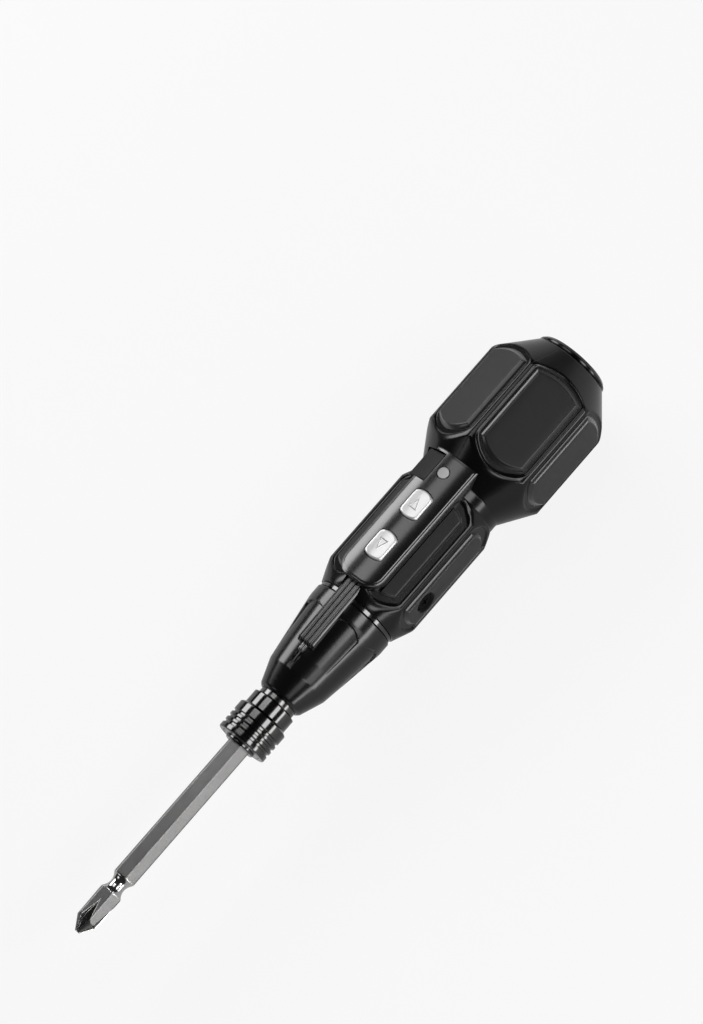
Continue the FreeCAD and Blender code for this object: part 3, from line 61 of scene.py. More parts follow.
endSlant = 1.03     # a bowed end leans, so it is set in by this much more than the sides
print("frame loaded:", len(frame["nodes"]), "nodes")


# small shape functions, all on whole arrays

# 0 below -b, u above b and a parabola between: a hinge with a soft knee
def softHinge(u, b):
    return np.where(np.abs(u) < b, (u + b) ** 2 / (4 * b), np.maximum(u, 0))


# the polyline through the stations, with each inner knee rounded over its blend
def softLine(x, stations, heights, blends):
    slopes = np.diff(heights) / np.diff(stations)
    line = heights[0] + slopes[0] * (x - stations[0])
    for knee, turn, blend in zip(stations[1:-1], np.diff(slopes), blends):
        line = line + turn * softHinge(x - knee, blend)
    return line


# the smaller of two surfaces, with the crease between them rounded over k
def softMin(a, b, k):
    return np.minimum(a, b) - np.maximum(k - np.abs(a - b), 0) ** 2 / (4 * k)


# the larger of two surfaces: minus the smaller of their opposites
def softMax(a, b, k):
    return -softMin(-a, -b, k)


# 1 well inside a distance of zero, 0 well outside it, smooth over twice the width
def softStep(distance, width):
    share = np.clip((width - distance) / (2 * width), 0, 1)
    return share * share * (3 - 2 * share)


# how far the edge of a plane drops, d in from its rim, when the rim is a quarter round
def edgeDrop(d, r):
    inside = np.clip(r - d, 0, r)
    return r - np.sqrt(r * r - inside * inside)


# signed distance to a plan with straight sides and bowed ends, its corners rounded
def archedDistance(x, t, plan):
    share = np.clip(t / plan["half"], -bowLimit, bowLimit)
    bow = 1 - share * share
    leanFront = 2 * plan["frontBow"] * share / plan["half"]
    leanRear = 2 * plan["rearBow"] * share / plan["half"]
    front = (plan["front"] - plan["frontBow"] * bow - x) / np.hypot(1, leanFront)
    rear = (x - plan["rear"] - plan["rearBow"] * bow) / np.hypot(1, leanRear)
    return softMax(np.maximum(front, rear), np.abs(t) - plan["half"], plan["corner"])


# steps from start to end, fine inside the zones and coarse outside, from the integral of the density
def gradedSteps(start, end, zones, fine, coarse, samples=6000):
    line = np.linspace(start, end, samples)
    dense = np.full(line.shape, 1 / coarse)
    for low, high in zones:
        dense[(line >= low) & (line <= high)] = 1 / fine
    total = np.concatenate([[0], np.cumsum((dense[1:] + dense[:-1]) / 2 * np.diff(line))])
    return np.interp(np.linspace(0, total[-1], int(math.ceil(total[-1])) + 1), total, line)


# the stretch that reaches half a width to each side of a middle
def around(middle, half):
    return (middle - half, middle + half)


# a point at radius r and angle theta round the tool's axis,
# theta in degrees from the buttons toward the camera side
def polar(x, r, theta):
    angle = np.radians(theta)
    return np.stack(np.broadcast_arrays(x, -r * np.sin(angle), r * np.cos(angle)), axis=-1)


# a point on a facet: n out along the facet's normal, t across it
def onFacet(x, t, n, facet):
    angle = np.radians(facet)
    y = -n * np.sin(angle) - t * np.cos(angle)
    z = n * np.cos(angle) - t * np.sin(angle)
    return np.stack(np.broadcast_arrays(x, y, z), axis=-1)


# quads between neighbouring rows and columns of a grid, wrapped round where asked
def gridFaces(rows, columns, wrapRows=False, wrapColumns=False):
    index = np.arange(rows * columns).reshape(rows, columns)
    if wrapRows:
        index = np.vstack([index, index[:1]])
    if wrapColumns:
        index = np.hstack([index, index[:, :1]])
    return np.stack([index[:-1, :-1], index[:-1, 1:], index[1:, 1:], index[1:, :-1]], axis=-1).reshape(-1, 4)


# a mesh object from points in millimetres, quads and end caps;
# poles are merged and closed shells face outwards
def makePiece(name, points, quads, caps=(), closed=True, sharp=50, marks=None):
    used = np.zeros(len(points), bool)
    used[quads.ravel()] = True
    place = np.cumsum(used) - 1
    quads = place[quads]
    mesh = bpy.data.meshes.new(name)
    mesh.vertices.add(int(used.sum()))
    mesh.vertices.foreach_set("co", (points[used] * mm).astype(np.float32).ravel())
    loops = [quads.ravel()] + [place[cap] for cap in caps]
    capStarts = quads.size + np.cumsum([0] + [len(cap) for cap in caps])[:-1]
    starts = np.concatenate([np.arange(len(quads)) * 4, capStarts])
    mesh.loops.add(sum(len(loop) for loop in loops))
    mesh.loops.foreach_set("vertex_index", np.concatenate(loops).astype(np.int32))
    mesh.polygons.add(len(starts))
    mesh.polygons.foreach_set("loop_start", starts.astype(np.int32))
    mesh.update(calc_edges=True)
    if marks is not None:
        layer = mesh.attributes.new("mark", "FLOAT", "POINT")
        layer.data.foreach_set("value", marks.ravel()[used].astype(np.float32))
    work = bmesh.new()
    work.from_mesh(mesh)
    bmesh.ops.remove_doubles(work, verts=work.verts, dist=weld * mm)
    bmesh.ops.dissolve_degenerate(work, edges=work.edges, dist=weld * mm)
    if closed:
        bmesh.ops.recalc_face_normals(work, faces=work.faces)
    work.to_mesh(mesh)
    work.free()
    mesh.polygons.foreach_set("use_smooth", np.ones(len(mesh.polygons), bool))
    mesh.set_sharp_from_angle(angle=math.radians(sharp))
    piece = bpy.data.objects.new(name, mesh)
    scene.collection.objects.link(piece)
    return piece


# a piece from a grid whose columns close into rings; its rows close too, or its two end rings are capped
def gridPiece(name, grid, wrapRows=False, ends=False, sharp=50, marks=None):
    index = np.arange(grid[..., 0].size).reshape(grid.shape[:2])
    caps = (index[0], index[-1]) if ends else ()
    faces = gridFaces(*index.shape, wrapRows, True)
    return makePiece(name, grid.reshape(-1, 3), faces, caps, sharp=sharp, marks=marks)


filletSizes = dict(steps=6, reachShare=0.48, support=0.02, supportShare=0.3, supportMost=0.12)


# a closed profile of (x, radius, fillet) corners, each turned into a curve as long as its fillet asks,
# with a supporting point just before and after it
def filletProfile(corners):
    x, r, fillet = np.array(corners, float).T
    at = np.stack([x, r], 1)
    before, after = np.roll(at, 1, 0) - at, np.roll(at, -1, 0) - at
    lengthA, lengthB = np.hypot(*before.T), np.hypot(*after.T)
    before, after = before / lengthA[:, None], after / lengthB[:, None]
    bend = np.arccos(np.clip((before * after).sum(1), -1, 1))
    reach = np.minimum(fillet / np.tan(bend / 2), filletSizes["reachShare"] * np.minimum(lengthA, lengthB))
    share = np.linspace(0, 1, filletSizes["steps"])[None, :, None]
    rest = 1 - share
    first, last = at + before * reach[:, None], at + after * reach[:, None]
    arc = rest ** 2 * first[:, None] + 2 * share * rest * at[:, None] + share ** 2 * last[:, None]
    support = filletSizes["support"] + filletSizes["supportShare"] * reach
    support = np.minimum(filletSizes["supportMost"], support)[:, None]
    whole = np.concatenate([(first + before * support)[:, None], arc, (last + after * support)[:, None]], 1)
    return whole.reshape(-1, 2)


# a filleted profile turned round the tool's axis
def turnedPiece(name, corners, segments=168, sharp=62):
    line = filletProfile(corners)
    theta = np.linspace(0, 360, segments, endpoint=False)
    return gridPiece(name, polar(line[:, :1], np.maximum(line[:, 1:], 0), theta), True, sharp=sharp)


# rows along x, each spanning its half width; the top follows a height function,
# straight walls run down to the floor
def stripPiece(name, x, half, across, height, floor, sharp=50, mark=None):
    y = half[:, None] * across[None, :]
    xx = np.broadcast_to(x[:, None], y.shape)
    z = height(xx, y)
    top = np.stack([xx, y, z], -1)
    left, right = top[:, :1].copy(), top[:, -1:].copy()
    left[..., 2] = floor
    right[..., 2] = floor
    marks = None
    if mark is not None:
        marks = np.pad(mark(xx, y), ((0, 0), (1, 1)))
    return gridPiece(name, np.concatenate([left, top, right], 1), ends=True, sharp=sharp, marks=marks)


# wraps one socket of a node tree, so that sums on it add Math nodes
class Field:
    def __init__(self, tree, socket):
        self.tree, self.socket = tree, socket

    # a Math node of two values, each a field or a number
    def combine(self, operation, left, right):
        node = self.tree.nodes.new("ShaderNodeMath")
        node.operation = operation
        for place, value in zip(node.inputs, (left, right)):
            if isinstance(value, Field):
                self.tree.links.new(value.socket, place)
            else:
                place.default_value = value
        return Field(self.tree, node.outputs[0])

    def __add__(self, other): return self.combine("ADD", self, other)
    def __radd__(self, other): return self.combine("ADD", other, self)
    def __sub__(self, other): return self.combine("SUBTRACT", self, other)
    def __rsub__(self, other): return self.combine("SUBTRACT", other, self)
    def __mul__(self, other): return self.combine("MULTIPLY", self, other)
    def __rmul__(self, other): return self.combine("MULTIPLY", other, self)
    def __abs__(self): return self.combine("ABSOLUTE", self, 0.0)
    def above(self, level): return self.combine("GREATER_THAN", self, level)


# a node tree with the one method that adds any node
class NodeBoard:
    def __init__(self, tree):
        self.tree = tree

    # adds a node, fills its settings and sockets and wraps one of its outputs
    def node(self, kind, settings=None, sockets=None, output=0):
        node = self.tree.nodes.new(kind)
        for key, value in (settings or {}).items():
            if key == "stops":
                for stop, (place, colour) in zip(node.color_ramp.elements, value):
                    stop.position, stop.color = place, colour
            else:
                setattr(node, key, value)
        for key, value in (sockets or {}).items():
            if isinstance(value, Field):
                self.tree.links.new(value.socket, node.inputs[key])
            else:
                node.inputs[key].default_value = value
        return Field(self.tree, node.outputs[output])


# one material and its principled shader
class Finish(NodeBoard):
    def __init__(self, name, **constants):
        self.material = bpy.data.materials.new(name)
        self.material.use_nodes = True
        super().__init__(self.material.node_tree)
        self.shader = self.tree.nodes["Principled BSDF"]
        self.shade(**constants)

    # feeds the shader's sockets, each with a field or a constant
    def shade(self, **sockets):
        for key, value in sockets.items():
            socket = self.shader.inputs[key.replace("_", " ")]
            if isinstance(value, Field):
                self.tree.links.new(value.socket, socket)
            else:
                socket.default_value = value

    # where a point is on its own piece
    def place(self):
        return self.node("ShaderNodeTexCoord", output="Object")

    # one coordinate of that place
    def along(self, axis):
        return self.node("ShaderNodeSeparateXYZ", None, {"Vector": self.place()}, axis)

    # cloudy noise of a size in millimetres, about 0.5 on average
    def cloud(self, size, detail=2.0, rough=0.5, stretch=None):
        place = self.place()
        if stretch:
            place = self.node("ShaderNodeVectorMath", {"operation": "MULTIPLY"}, {0: place, 1: stretch})
        sockets = {"Vector": place, "Scale": 1 / (size * mm), "Detail": detail, "Roughness": rough}
        return self.node("ShaderNodeTexNoise", None, sockets, "Fac")

    # a colour between two, by a mask
    def blend(self, mask, dark, light):
        return self.node("ShaderNodeMix", {"data_type": "RGBA", "clamp_factor": True},
                         {"Factor": mask, 6: dark, 7: light}, 2)

    # a bump that stands depth millimetres high where its height is 1
    def bump(self, height, depth):
        sockets = {"Height": height, "Distance": depth * mm, "Strength": 1.0}
        self.shade(Normal=self.node("ShaderNodeBump", None, sockets))

    # what a piece's own mark says: 0 to 1 at each point
    def mark(self):
        return self.node("ShaderNodeAttribute", {"attribute_name": "mark"}, None, "Fac")


# a grey of one value, with red raised and blue lowered by the warm share
def grey(value, warm=0.0):
    return (value * (1 + warm), value, value * (1 - warm), 1.0)


# what most finishes share: two tones mixed by a cloud, a spread of roughness and a fine grain
def mouldedFinish(name, s):
    finish = Finish(name, Metallic=s.get("metallic", 0.0), Coat_Weight=s.get("coat", 0.0),
                    Coat_Roughness=s.get("haze", 0.03), Specular_IOR_Level=s.get("specular", 0.5),
                    Sheen_Weight=s.get("sheen", 0.0))
    patch = finish.cloud(s["patch"], detail=3.0, rough=0.55, stretch=s.get("stretch"))
    finish.shade(Base_Color=finish.blend(patch, s["dark"], s["light"]),
                 Roughness=s["rough"] + s["spread"] * (patch - 0.5))
    finish.bump(finish.cloud(s["grain"], rough=0.6, stretch=s.get("stretch")), s["depth"])
    return finish


finishes = {
    "housing_plastic": dict(dark=grey(0.0015), light=grey(0.0025), rough=0.18, spread=0.06, patch=9.0,
                            grain=0.25, depth=0.003, specular=0.32),
    "nose_plastic": dict(dark=grey(0.0015), light=grey(0.0025), rough=0.19, spread=0.06, patch=9.0,
                         grain=0.25, depth=0.003, specular=0.52),
    "strip_plastic": dict(dark=grey(0.0015), light=grey(0.0025), rough=0.24, spread=0.06, patch=12.0,
                          grain=0.3, depth=0.002, coat=0.60, haze=0.19),
    "pad_rubber": dict(dark=grey(0.003, -0.03), light=grey(0.005, -0.02), rough=0.44, spread=0.08, patch=6.0,
                       grain=0.16, depth=0.005, specular=0.20, sheen=0.18),
    "flap_rubber": dict(dark=grey(0.004), light=grey(0.007), rough=0.50, spread=0.08, patch=4.0,
                        grain=0.16, depth=0.006, specular=0.18),
    "black_chrome": dict(dark=grey(0.085, 0.01), light=grey(0.105, 0.01), rough=0.13, spread=0.06, patch=5.0,
                         grain=0.4, depth=0.0015, metallic=1.0),
    # a darker copy of the black chrome, used on the tail cap as painted shade
    "shaded_chrome": dict(dark=grey(0.030), light=grey(0.040), rough=0.20, spread=0.06, patch=5.0,
                        grain=0.4, depth=0.0015, metallic=1.0),
    "bright_metal": dict(dark=grey(0.10, 0.02), light=grey(0.13, 0.02), rough=0.18, spread=0.08, patch=2.0,
                         grain=0.2, depth=0.004, metallic=1.0, stretch=(8.0, 1.0, 1.0)),
    "button_silver": dict(dark=grey(0.55), light=grey(0.67), rough=0.30, spread=0.06, patch=3.0,
                          grain=0.12, depth=0.003, metallic=0.5),
    "lens_grey": dict(dark=grey(0.30), light=grey(0.36), rough=0.28, spread=0.06, patch=1.5,
                      grain=0.2, depth=0.004),
    "gear_metal": dict(dark=grey(0.36, 0.03), light=grey(0.46, 0.03), rough=0.38, spread=0.14, patch=1.4,
                       grain=0.25, depth=0.01, metallic=1.0),
    "bush_bronze": dict(dark=(0.36, 0.22, 0.09, 1), light=(0.50, 0.32, 0.14, 1), rough=0.42, spread=0.12,
                        patch=0.8, grain=0.2, depth=0.012, metallic=1.0),
    "motor_steel": dict(dark=grey(0.46), light=grey(0.56), rough=0.30, spread=0.12, patch=6.0,
                        grain=0.2, depth=0.004, metallic=1.0, stretch=(1.0, 5.0, 5.0)),
    "magnet_grey": dict(dark=grey(0.055), light=grey(0.085), rough=0.55, spread=0.12, patch=1.0,
                        grain=0.2, depth=0.01),
    "board_green": dict(dark=(0.012, 0.075, 0.030, 1), light=(0.020, 0.115, 0.048, 1), rough=0.36,
                        spread=0.10, patch=1.6, grain=0.4, depth=0.006),
    "switch_black": dict(dark=grey(0.016), light=grey(0.028), rough=0.42, spread=0.10, patch=1.0,
                         grain=0.2, depth=0.006),
    "cell_wrap": dict(dark=(0.020, 0.075, 0.24, 1), light=(0.030, 0.10, 0.31, 1), rough=0.34, spread=0.10,
                      patch=8.0, grain=1.2, depth=0.02),
    "nickel": dict(dark=grey(0.52, 0.03), light=grey(0.63, 0.03), rough=0.30, spread=0.12, patch=2.0,
                   grain=0.2, depth=0.004, metallic=1.0),
    "lead_red": dict(dark=(0.28, 0.012, 0.010, 1), light=(0.38, 0.020, 0.016, 1), rough=0.42, spread=0.08,
                     patch=3.0, grain=0.3, depth=0.006),
    "screw_steel": dict(dark=grey(0.40), light=grey(0.52), rough=0.34, spread=0.14, patch=0.6,
                        grain=0.15, depth=0.006, metallic=1.0),
    # the screws as seen in their holes: a near-black painted shade, not their own steel
    "screw_shade": dict(dark=grey(0.0015), light=grey(0.003), rough=0.60, spread=0.14, patch=0.6,
                        grain=0.15, depth=0.006, specular=0.05),
}
looks = {slot: mouldedFinish(slot.replace("_", "-"), settings) for slot, settings in finishes.items()}

# lamp: clear plastic with a little haze in it
lampTone = dict(dark=grey(0.26), light=grey(0.40), patch=0.6, rough=0.04, spread=0.08)
lampLook = Finish("lamp-clear", Metallic=0.0, IOR=1.52, Transmission_Weight=0.85)
lampHaze = lampLook.cloud(lampTone["patch"])
lampLook.shade(Base_Color=lampLook.blend(lampHaze, lampTone["dark"], lampTone["light"]),
               Roughness=lampTone["rough"] + lampTone["spread"] * lampHaze)
looks["lamp_clear"] = lampLook

# copper winding: fine turns along the rotor, with painted shade between them and a painted highlight on their
# crowns
winding = dict(dark=(0.20, 0.060, 0.022, 1), light=(0.62, 0.24, 0.10, 1), scale=900.0, wander=0.6,
               rough=0.40, crown=0.12, depth=0.05)
windingLook = Finish("winding-copper", Metallic=1.0)
turns = windingLook.node("ShaderNodeTexWave", {"wave_type": "BANDS", "bands_direction": "DIAGONAL"},
                         {"Vector": windingLook.place(), "Scale": winding["scale"],
                          "Distortion": winding["wander"], "Detail": 1.0}, "Fac")
windingLook.shade(Base_Color=windingLook.blend(turns, winding["dark"], winding["light"]),
                  Roughness=winding["rough"] - winding["crown"] * turns)
windingLook.bump(turns, winding["depth"])
looks["winding_copper"] = windingLook


# a piece's finish, the body that it rides on, its slot and the nodes that it stands for
def dress(piece, body, slot, *nodes, look=None):
    piece.data.materials.append(looks[look or slot].material)
    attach(piece, body)
    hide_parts(*nodes)


print("finishes made:", len(looks))

handle = dict(
    stations=[48.9, 55.25, 84.92, 89.13, 91.83, 102.0, 128.66, 138.92],
    radii=[12.51, 15.2, 15.2, 13.25, 13.25, 19.7, 19.7, 11.24],
    blends=[0.5, 0.25, 0.08, 0.08, 0.35, 1.0], gripFlat=13.32, bulbFlat=17.58, flatBlend=0.7,
    flatFrom=88.6, flatTo=93.0, neckAt=90.4, neckHalf=2.4, neckBlend=0.05, neckFade=0.4, moatDepth=0.5,
    wall=1.4, slotHalf=2.9, slotRear=52.5, slotFloor=11.3, slotEdge=0.06, underStrip=0.5,
    fineRows=[(48.9, 57.6), (58.4, 65.6), (81.2, 97.2), (98.6, 106.0), (126.0, 134.0)],
    rowSteps=(0.22, 0.85), columnSteps=(0.45, 1.6), cornerFine=(23, 31), portFine=(20, 25), topFine=16,
    screwFine=14)
bulbMoat = dict(front=103.9, frontBow=4.6, rear=129.0, rearBow=2.2, half=8.9, corner=1.2, edge=0.36)
gripMoat = dict(front=55.5, frontBow=3.2, rear=84.4, rearBow=3.5, half=6.5, corner=1.0, edge=0.22)
cover = dict(front=52.4, rear=96.0, radius=16.15, half=7.1, floor=10.85, bend=5.0, edge=0.16,
             lean=0.30, slopes=(0.95, 0.68, 0.42), gap=0.16, pit=1.7, lineSoft=0.03, soft=0.05,
             fineRows=[(52.4, 53.4), (59.5, 69.1), (74.1, 83.7), (88.2, 92.2), (85.0, 85.8), (94.5, 96.0)],
             rowSteps=(0.11, 0.5), fineShares=[(-1, -0.84), (0.84, 1), (-0.5, -0.33), (0.33, 0.5)],
             shareSteps=(0.009, 0.03))
flap = dict(x=90.15, half=4.65, low=-5.2, hinge=2.44, floor=13.7, top=15.3, roomHalf=4.77, roomLow=-5.32,
            roomHigh=4.4, seat=13.65, portHalf=4.47, portHigh=1.6, portAt=-1.4, facet=330, edge=0.06,
            notchSide=3.05, foot=0.12, roll=((0.0, 0.45), (0.06, 0.2), (0.2, 0.05), (0.45, 0.0)), core=2.5)
screwHole = dict(x=62.0, radius=3.45, padRadius=3.3, seat=12.3, edge=0.1,
                 rim=((0.28, 0.0), (0.10, 0.04), (0.0, 0.2)))


# signed distance to the strip's plan: a rectangle with its two front corners rounded
def coverDistance(x, y):
    bend = cover["bend"]
    side, front, rear = np.abs(y) - cover["half"], cover["front"] - x, x - cover["rear"]
    corner = np.hypot(np.maximum(front + bend, 0), np.maximum(side + bend, 0)) - bend
    return np.maximum(np.maximum(side, front), np.maximum(rear, corner))


# radius of the turned form, cut by six flats; then, in facet coordinates, the moats, screw holes
# and flap seat are sunk in, and last a slot in the front of the top
def handleSurface(x, theta):
    facet = np.clip(np.floor(theta / 60), 0, 5) * 60 + 30
    off = np.radians(theta - facet)
    turned = softLine(x, handle["stations"], handle["radii"], handle["blends"])
    rise = np.clip((x - handle["flatFrom"]) / (handle["flatTo"] - handle["flatFrom"]), 0, 1)
    flat = handle["gripFlat"] + (handle["bulbFlat"] - handle["gripFlat"]) * rise
    neck = softStep(np.abs(x - handle["neckAt"]) - handle["neckHalf"], handle["neckFade"])
    crease = handle["flatBlend"] * (1 - neck) + handle["neckBlend"] * neck
    radius = softMin(turned, flat / np.cos(off), crease)
    n, t = radius * np.cos(off), radius * np.sin(off)
    for plan, level in ((gripMoat, handle["gripFlat"]), (bulbMoat, handle["bulbFlat"])):
        sunk = softStep(archedDistance(x, t, plan), plan["edge"])
        n = n - sunk * np.maximum(n - level + handle["moatDepth"], 0)
    onSide = (facet == 90) | (facet == 270)
    sunk = onSide * softStep(np.hypot(x - screwHole["x"], t) - screwHole["radius"], screwHole["edge"])
    n = n - sunk * np.maximum(n - screwHole["seat"], 0)
    onPort = facet == flap["facet"]
    reach = np.abs(x - flap["x"])
    boss = np.maximum(np.maximum(reach - flap["half"], -t - flap["hinge"]), flap["low"] + t)
    n = n + onPort * softStep(boss, flap["edge"]) * np.maximum(flap["seat"] - n, 0)
    room = np.maximum(np.maximum(reach - flap["roomHalf"], -t - flap["roomHigh"]), flap["roomLow"] + t)
    n = n - onPort * softStep(room, flap["edge"]) * np.maximum(n - flap["seat"], 0)
    points = onFacet(x, t, n, facet)
    slot = np.maximum(np.abs(points[..., 1]) - handle["slotHalf"], points[..., 0] - handle["slotRear"])
    over = np.maximum(points[..., 2] - handle["slotFloor"], 0)
    points[..., 2] -= softStep(slot, handle["slotEdge"]) * over
    return points, np.broadcast_to(onPort, n.shape), t


shellRows = gradedSteps(handle["stations"][0], handle["stations"][-1], handle["fineRows"],
                        *handle["rowSteps"])


# half a turn of the handle; faces under the strip and in the charging port are left out
def handleShell(name, start, facets):
    near, far = handle["cornerFine"]
    zones = [(f - far, f - near) for f in facets] + [(f + near, f + far) for f in facets]
    if start == 0:
        zones += [(0, handle["topFine"]), around(90, handle["screwFine"])]
    else:
        low, high = handle["portFine"]
        zones += [(360 - handle["topFine"], 360), (flap["facet"] - low, flap["facet"] + high)]
    theta = gradedSteps(start, start + 180, zones, *handle["columnSteps"])
    points, onPort, t = handleSurface(shellRows[:, None], theta[None, :])
    quads = gridFaces(*points.shape[:2])
    points, onPort, t = points.reshape(-1, 3), onPort.ravel(), t.ravel()
    middle = points[quads].mean(1)
    across = t[quads].mean(1)
    under = (coverDistance(middle[:, 0], middle[:, 1]) < -handle["underStrip"]) & (middle[:, 2] > 0)
    along = np.maximum(np.abs(middle[:, 0] - flap["x"]) - flap["portHalf"] + flap["portHigh"], 0)
    port = onPort[quads].all(1) & (np.hypot(along, across + flap["portAt"]) < flap["portHigh"])
    piece = makePiece(name, points, quads[~(under | port)], closed=False, sharp=35)
    wall = piece.modifiers.new("wall", "SOLIDIFY")
    wall.thickness, wall.offset = handle["wall"] * mm, -1
    return piece


dress(handleShell("shell_right", 0, (30, 90, 150)), "handle", "housing_plastic", "housing_right")
dress(handleShell("shell_left", 180, (210, 270, 330)), "handle", "housing_plastic", "housing_left")
print("handle shells made")

bulbPad = dict(front=104.3, frontBow=3.2, rear=128.1, rearBow=1.9, half=7.8, bevel=1.2)
gripPad = dict(front=56.1, frontBow=1.8, rear=83.65, rearBow=2.05, half=4.8, bevel=0.9, stripEdge=7.27)
padEdge = dict(rise=1.1, foot=0.05, ease=0.11, low=(0.4, 0.8), high=(0.8, 0.5), brink=0.1,
               rings=(0.3, 0.65), spine=0.4)      # low, high and brink are shares of the ease


# a flat outline lifted to a height
def atHeight(line, height):
    return np.column_stack([line, np.full(len(line), height)])


# the closed outline of a plan between two side lines, set in by a step: side, rear end, side, front end,
# each with a fixed count so that the corners of all insets stay in line; a cut side stays where it is
def archedOutline(plan, low, high, inset=0.0, cut=0, sideCount=84, endCount=44):
    low, high = low + inset * (cut != -1), high - inset * (cut != 1)
    side, end = np.linspace(0, 1, sideCount, endpoint=False), np.linspace(0, 1, endCount, endpoint=False)
    frontOf = lambda v: plan["front"] + endSlant * inset - plan["frontBow"] * (1 - (v / plan["half"]) ** 2)
    rearOf = lambda v: plan["rear"] - endSlant * inset + plan["rearBow"] * (1 - (v / plan["half"]) ** 2)
    rise, fall = low + (high - low) * end, high + (low - high) * end
    return np.concatenate([
        np.stack([frontOf(low) + (rearOf(low) - frontOf(low)) * side, np.full(sideCount, low)], 1),
        np.stack([rearOf(rise), rise], 1),
        np.stack([rearOf(high) + (frontOf(high) - rearOf(high)) * side, np.full(sideCount, high)], 1),
        np.stack([frontOf(fall), fall], 1)])


# rings of an outline set in by steps and raised by steps, then drawn together on a spine or round a hole
def padPiece(name, plan, low, high, base, facet, hole=None, cut=0):
    bevel, rise, foot, ease = plan["bevel"], padEdge["rise"], padEdge["foot"], padEdge["ease"]
    (lowIn, lowUp), (highIn, highUp) = padEdge["low"], padEdge["high"]
    rim = [(0.0, 0.0), (0.0, foot), (lowIn * ease, foot + lowUp * ease),
           (bevel - highIn * ease, rise - highUp * ease),
           (bevel, rise - padEdge["brink"] * ease), (bevel + ease, rise)]
    rings = [atHeight(archedOutline(plan, low, high, inset, cut), height) for inset, height in rim]
    last = rings[-1][:, :2]
    if hole:
        centre = np.array([[hole["x"], 0.0]])
        ray = last - centre
        core = centre + ray / np.hypot(*ray.T)[:, None] * hole["padRadius"]
    else:
        reach = (high - low) * padEdge["spine"]
        core = np.stack([np.clip(last[:, 0], plan["front"] + reach, plan["rear"] - reach),
                         np.full(len(last), (low + high) / 2)], 1)
    rings += [atHeight(last + (core - last) * share, rise) for share in padEdge["rings"]]
    if hole:
        holeRim = [(grow, rise - drop) for grow, drop in hole["rim"]] + [(0.0, 0.0)]
        rings += [atHeight(centre + (core - centre) * (1 + grow / hole["padRadius"]), height)
                  for grow, height in holeRim]
    else:
        rings = [atHeight(core, 0.0)] + rings + [atHeight(core, rise)]
    along, across, up = np.moveaxis(np.stack(rings), -1, 0)
    slope = np.zeros(along.shape)
    first = 0 if hole else 1
    slope[first:first + len(rim) - 1] = 1.0
    return gridPiece(name, onFacet(along, across, base + up, facet), bool(hole), sharp=33, marks=slope)


# where the strip cuts a top grip pad: the t at which the distance from the middle plane,
# n sin f + t cos f on the pad's own plane, is the limit
def sideCut(facet, limit):
    n = handle["gripFlat"] - handle["moatDepth"] + padEdge["rise"]
    return (limit - n * math.sin(math.radians(facet))) / math.cos(math.radians(facet))


# the pads' sloped rims are rubbed smooth: the mark is 1 on them
padRim = dict(smooth=0.14, coat=0.75, haze=0.16)
rubber, rubberTone = looks["pad_rubber"], finishes["pad_rubber"]
rubbed = rubber.mark()
rubberCloud = rubber.cloud(rubberTone["patch"]) - 0.5
rubber.shade(Roughness=rubberTone["rough"] + rubberTone["spread"] * rubberCloud - padRim["smooth"] * rubbed)
rubber.shade(Coat_Weight=padRim["coat"] * rubbed, Coat_Roughness=padRim["haze"])

gripBase = handle["gripFlat"] - handle["moatDepth"]
bulbBase = handle["bulbFlat"] - handle["moatDepth"]
stripSide = sideCut(30, gripPad["stripEdge"])
for number in range(6):
    facet = 30 + 60 * number
    dress(padPiece("pad_bulb_%d" % (number + 1), bulbPad, -bulbPad["half"], bulbPad["half"], bulbBase, facet),
          "handle", "pad_rubber", "bulb_pad_%d" % (number + 1))
    low, high, cut = -gripPad["half"], gripPad["half"], 0
    if number == 0:
        low, cut = max(low, stripSide), -1
    if number == 5:
        high, cut = min(high, -stripSide), 1
    hole = screwHole if number in (1, 4) else None
    dress(padPiece("pad_grip_%d" % (number + 1), gripPad, low, high, gripBase, facet, hole, cut),
          "handle", "pad_rubber", "grip_pad_%d" % (number + 1))
print("pads made")

buttons = dict(places=(64.3, 78.9), radius=16.65, edge=0.55, floor=13.3, line=0.10, depth=0.09,
               pointLong=1.5, pointHalf=1.2, soft=0.05, fineFrom=3.2, rowSteps=(0.05, 0.085), shoulder=0.75,
               leastHalf=0.02, edgeShare=0.84, shareSteps=(0.016, 0.027), pressed=0.6, pressedTone=grey(0.16))
buttonPlan = dict(front=-3.45, frontBow=1.0, rear=3.45, rearBow=1.0, half=3.07, corner=0.9)
lens = dict(x=90.2, radius=1.6, gap=0.14)
flapTilt = math.radians(360 - flap["facet"])


# the strip's round top, edges eased, sunk at the buttons and the charge lamp and stepped for the flap
def coverHeight(x, y):
    rim = -coverDistance(x, y)
    z = np.sqrt(cover["radius"] ** 2 - y * y) - edgeDrop(rim, cover["edge"])
    for place, way in zip(cover["slopes"], (1, -1, 1)):
        z = z - way * cover["lean"] * softHinge(place - rim, cover["lineSoft"])
    for place in buttons["places"]:
        pit = archedDistance(x - place, y, buttonPlan) - cover["gap"]
        z = z - cover["pit"] * softStep(pit, cover["soft"])
    pit = np.hypot(x - lens["x"], y) - lens["radius"] - lens["gap"]
    z = z - cover["pit"] * softStep(pit, cover["soft"])
    sill = (flap["seat"] - y * math.sin(flapTilt)) / math.cos(flapTilt)
    notch = np.maximum(np.abs(x - flap["x"]) - flap["roomHalf"], flap["notchSide"] - y)
    return z - softStep(notch, cover["soft"]) * np.maximum(z - sill, 0)


coverX = gradedSteps(cover["front"], cover["rear"], cover["fineRows"], *cover["rowSteps"])
coverRound = np.clip(cover["bend"] - (coverX - cover["front"]), 0, cover["bend"])
coverHalf = cover["half"] - cover["bend"] + np.sqrt(cover["bend"] ** 2 - coverRound ** 2)
coverAcross = gradedSteps(-1, 1, cover["fineShares"], *cover["shareSteps"])
dress(stripPiece("strip_cover", coverX, coverHalf, coverAcross, coverHeight, cover["floor"], sharp=40),
      "handle", "strip_plastic", "control_cover")


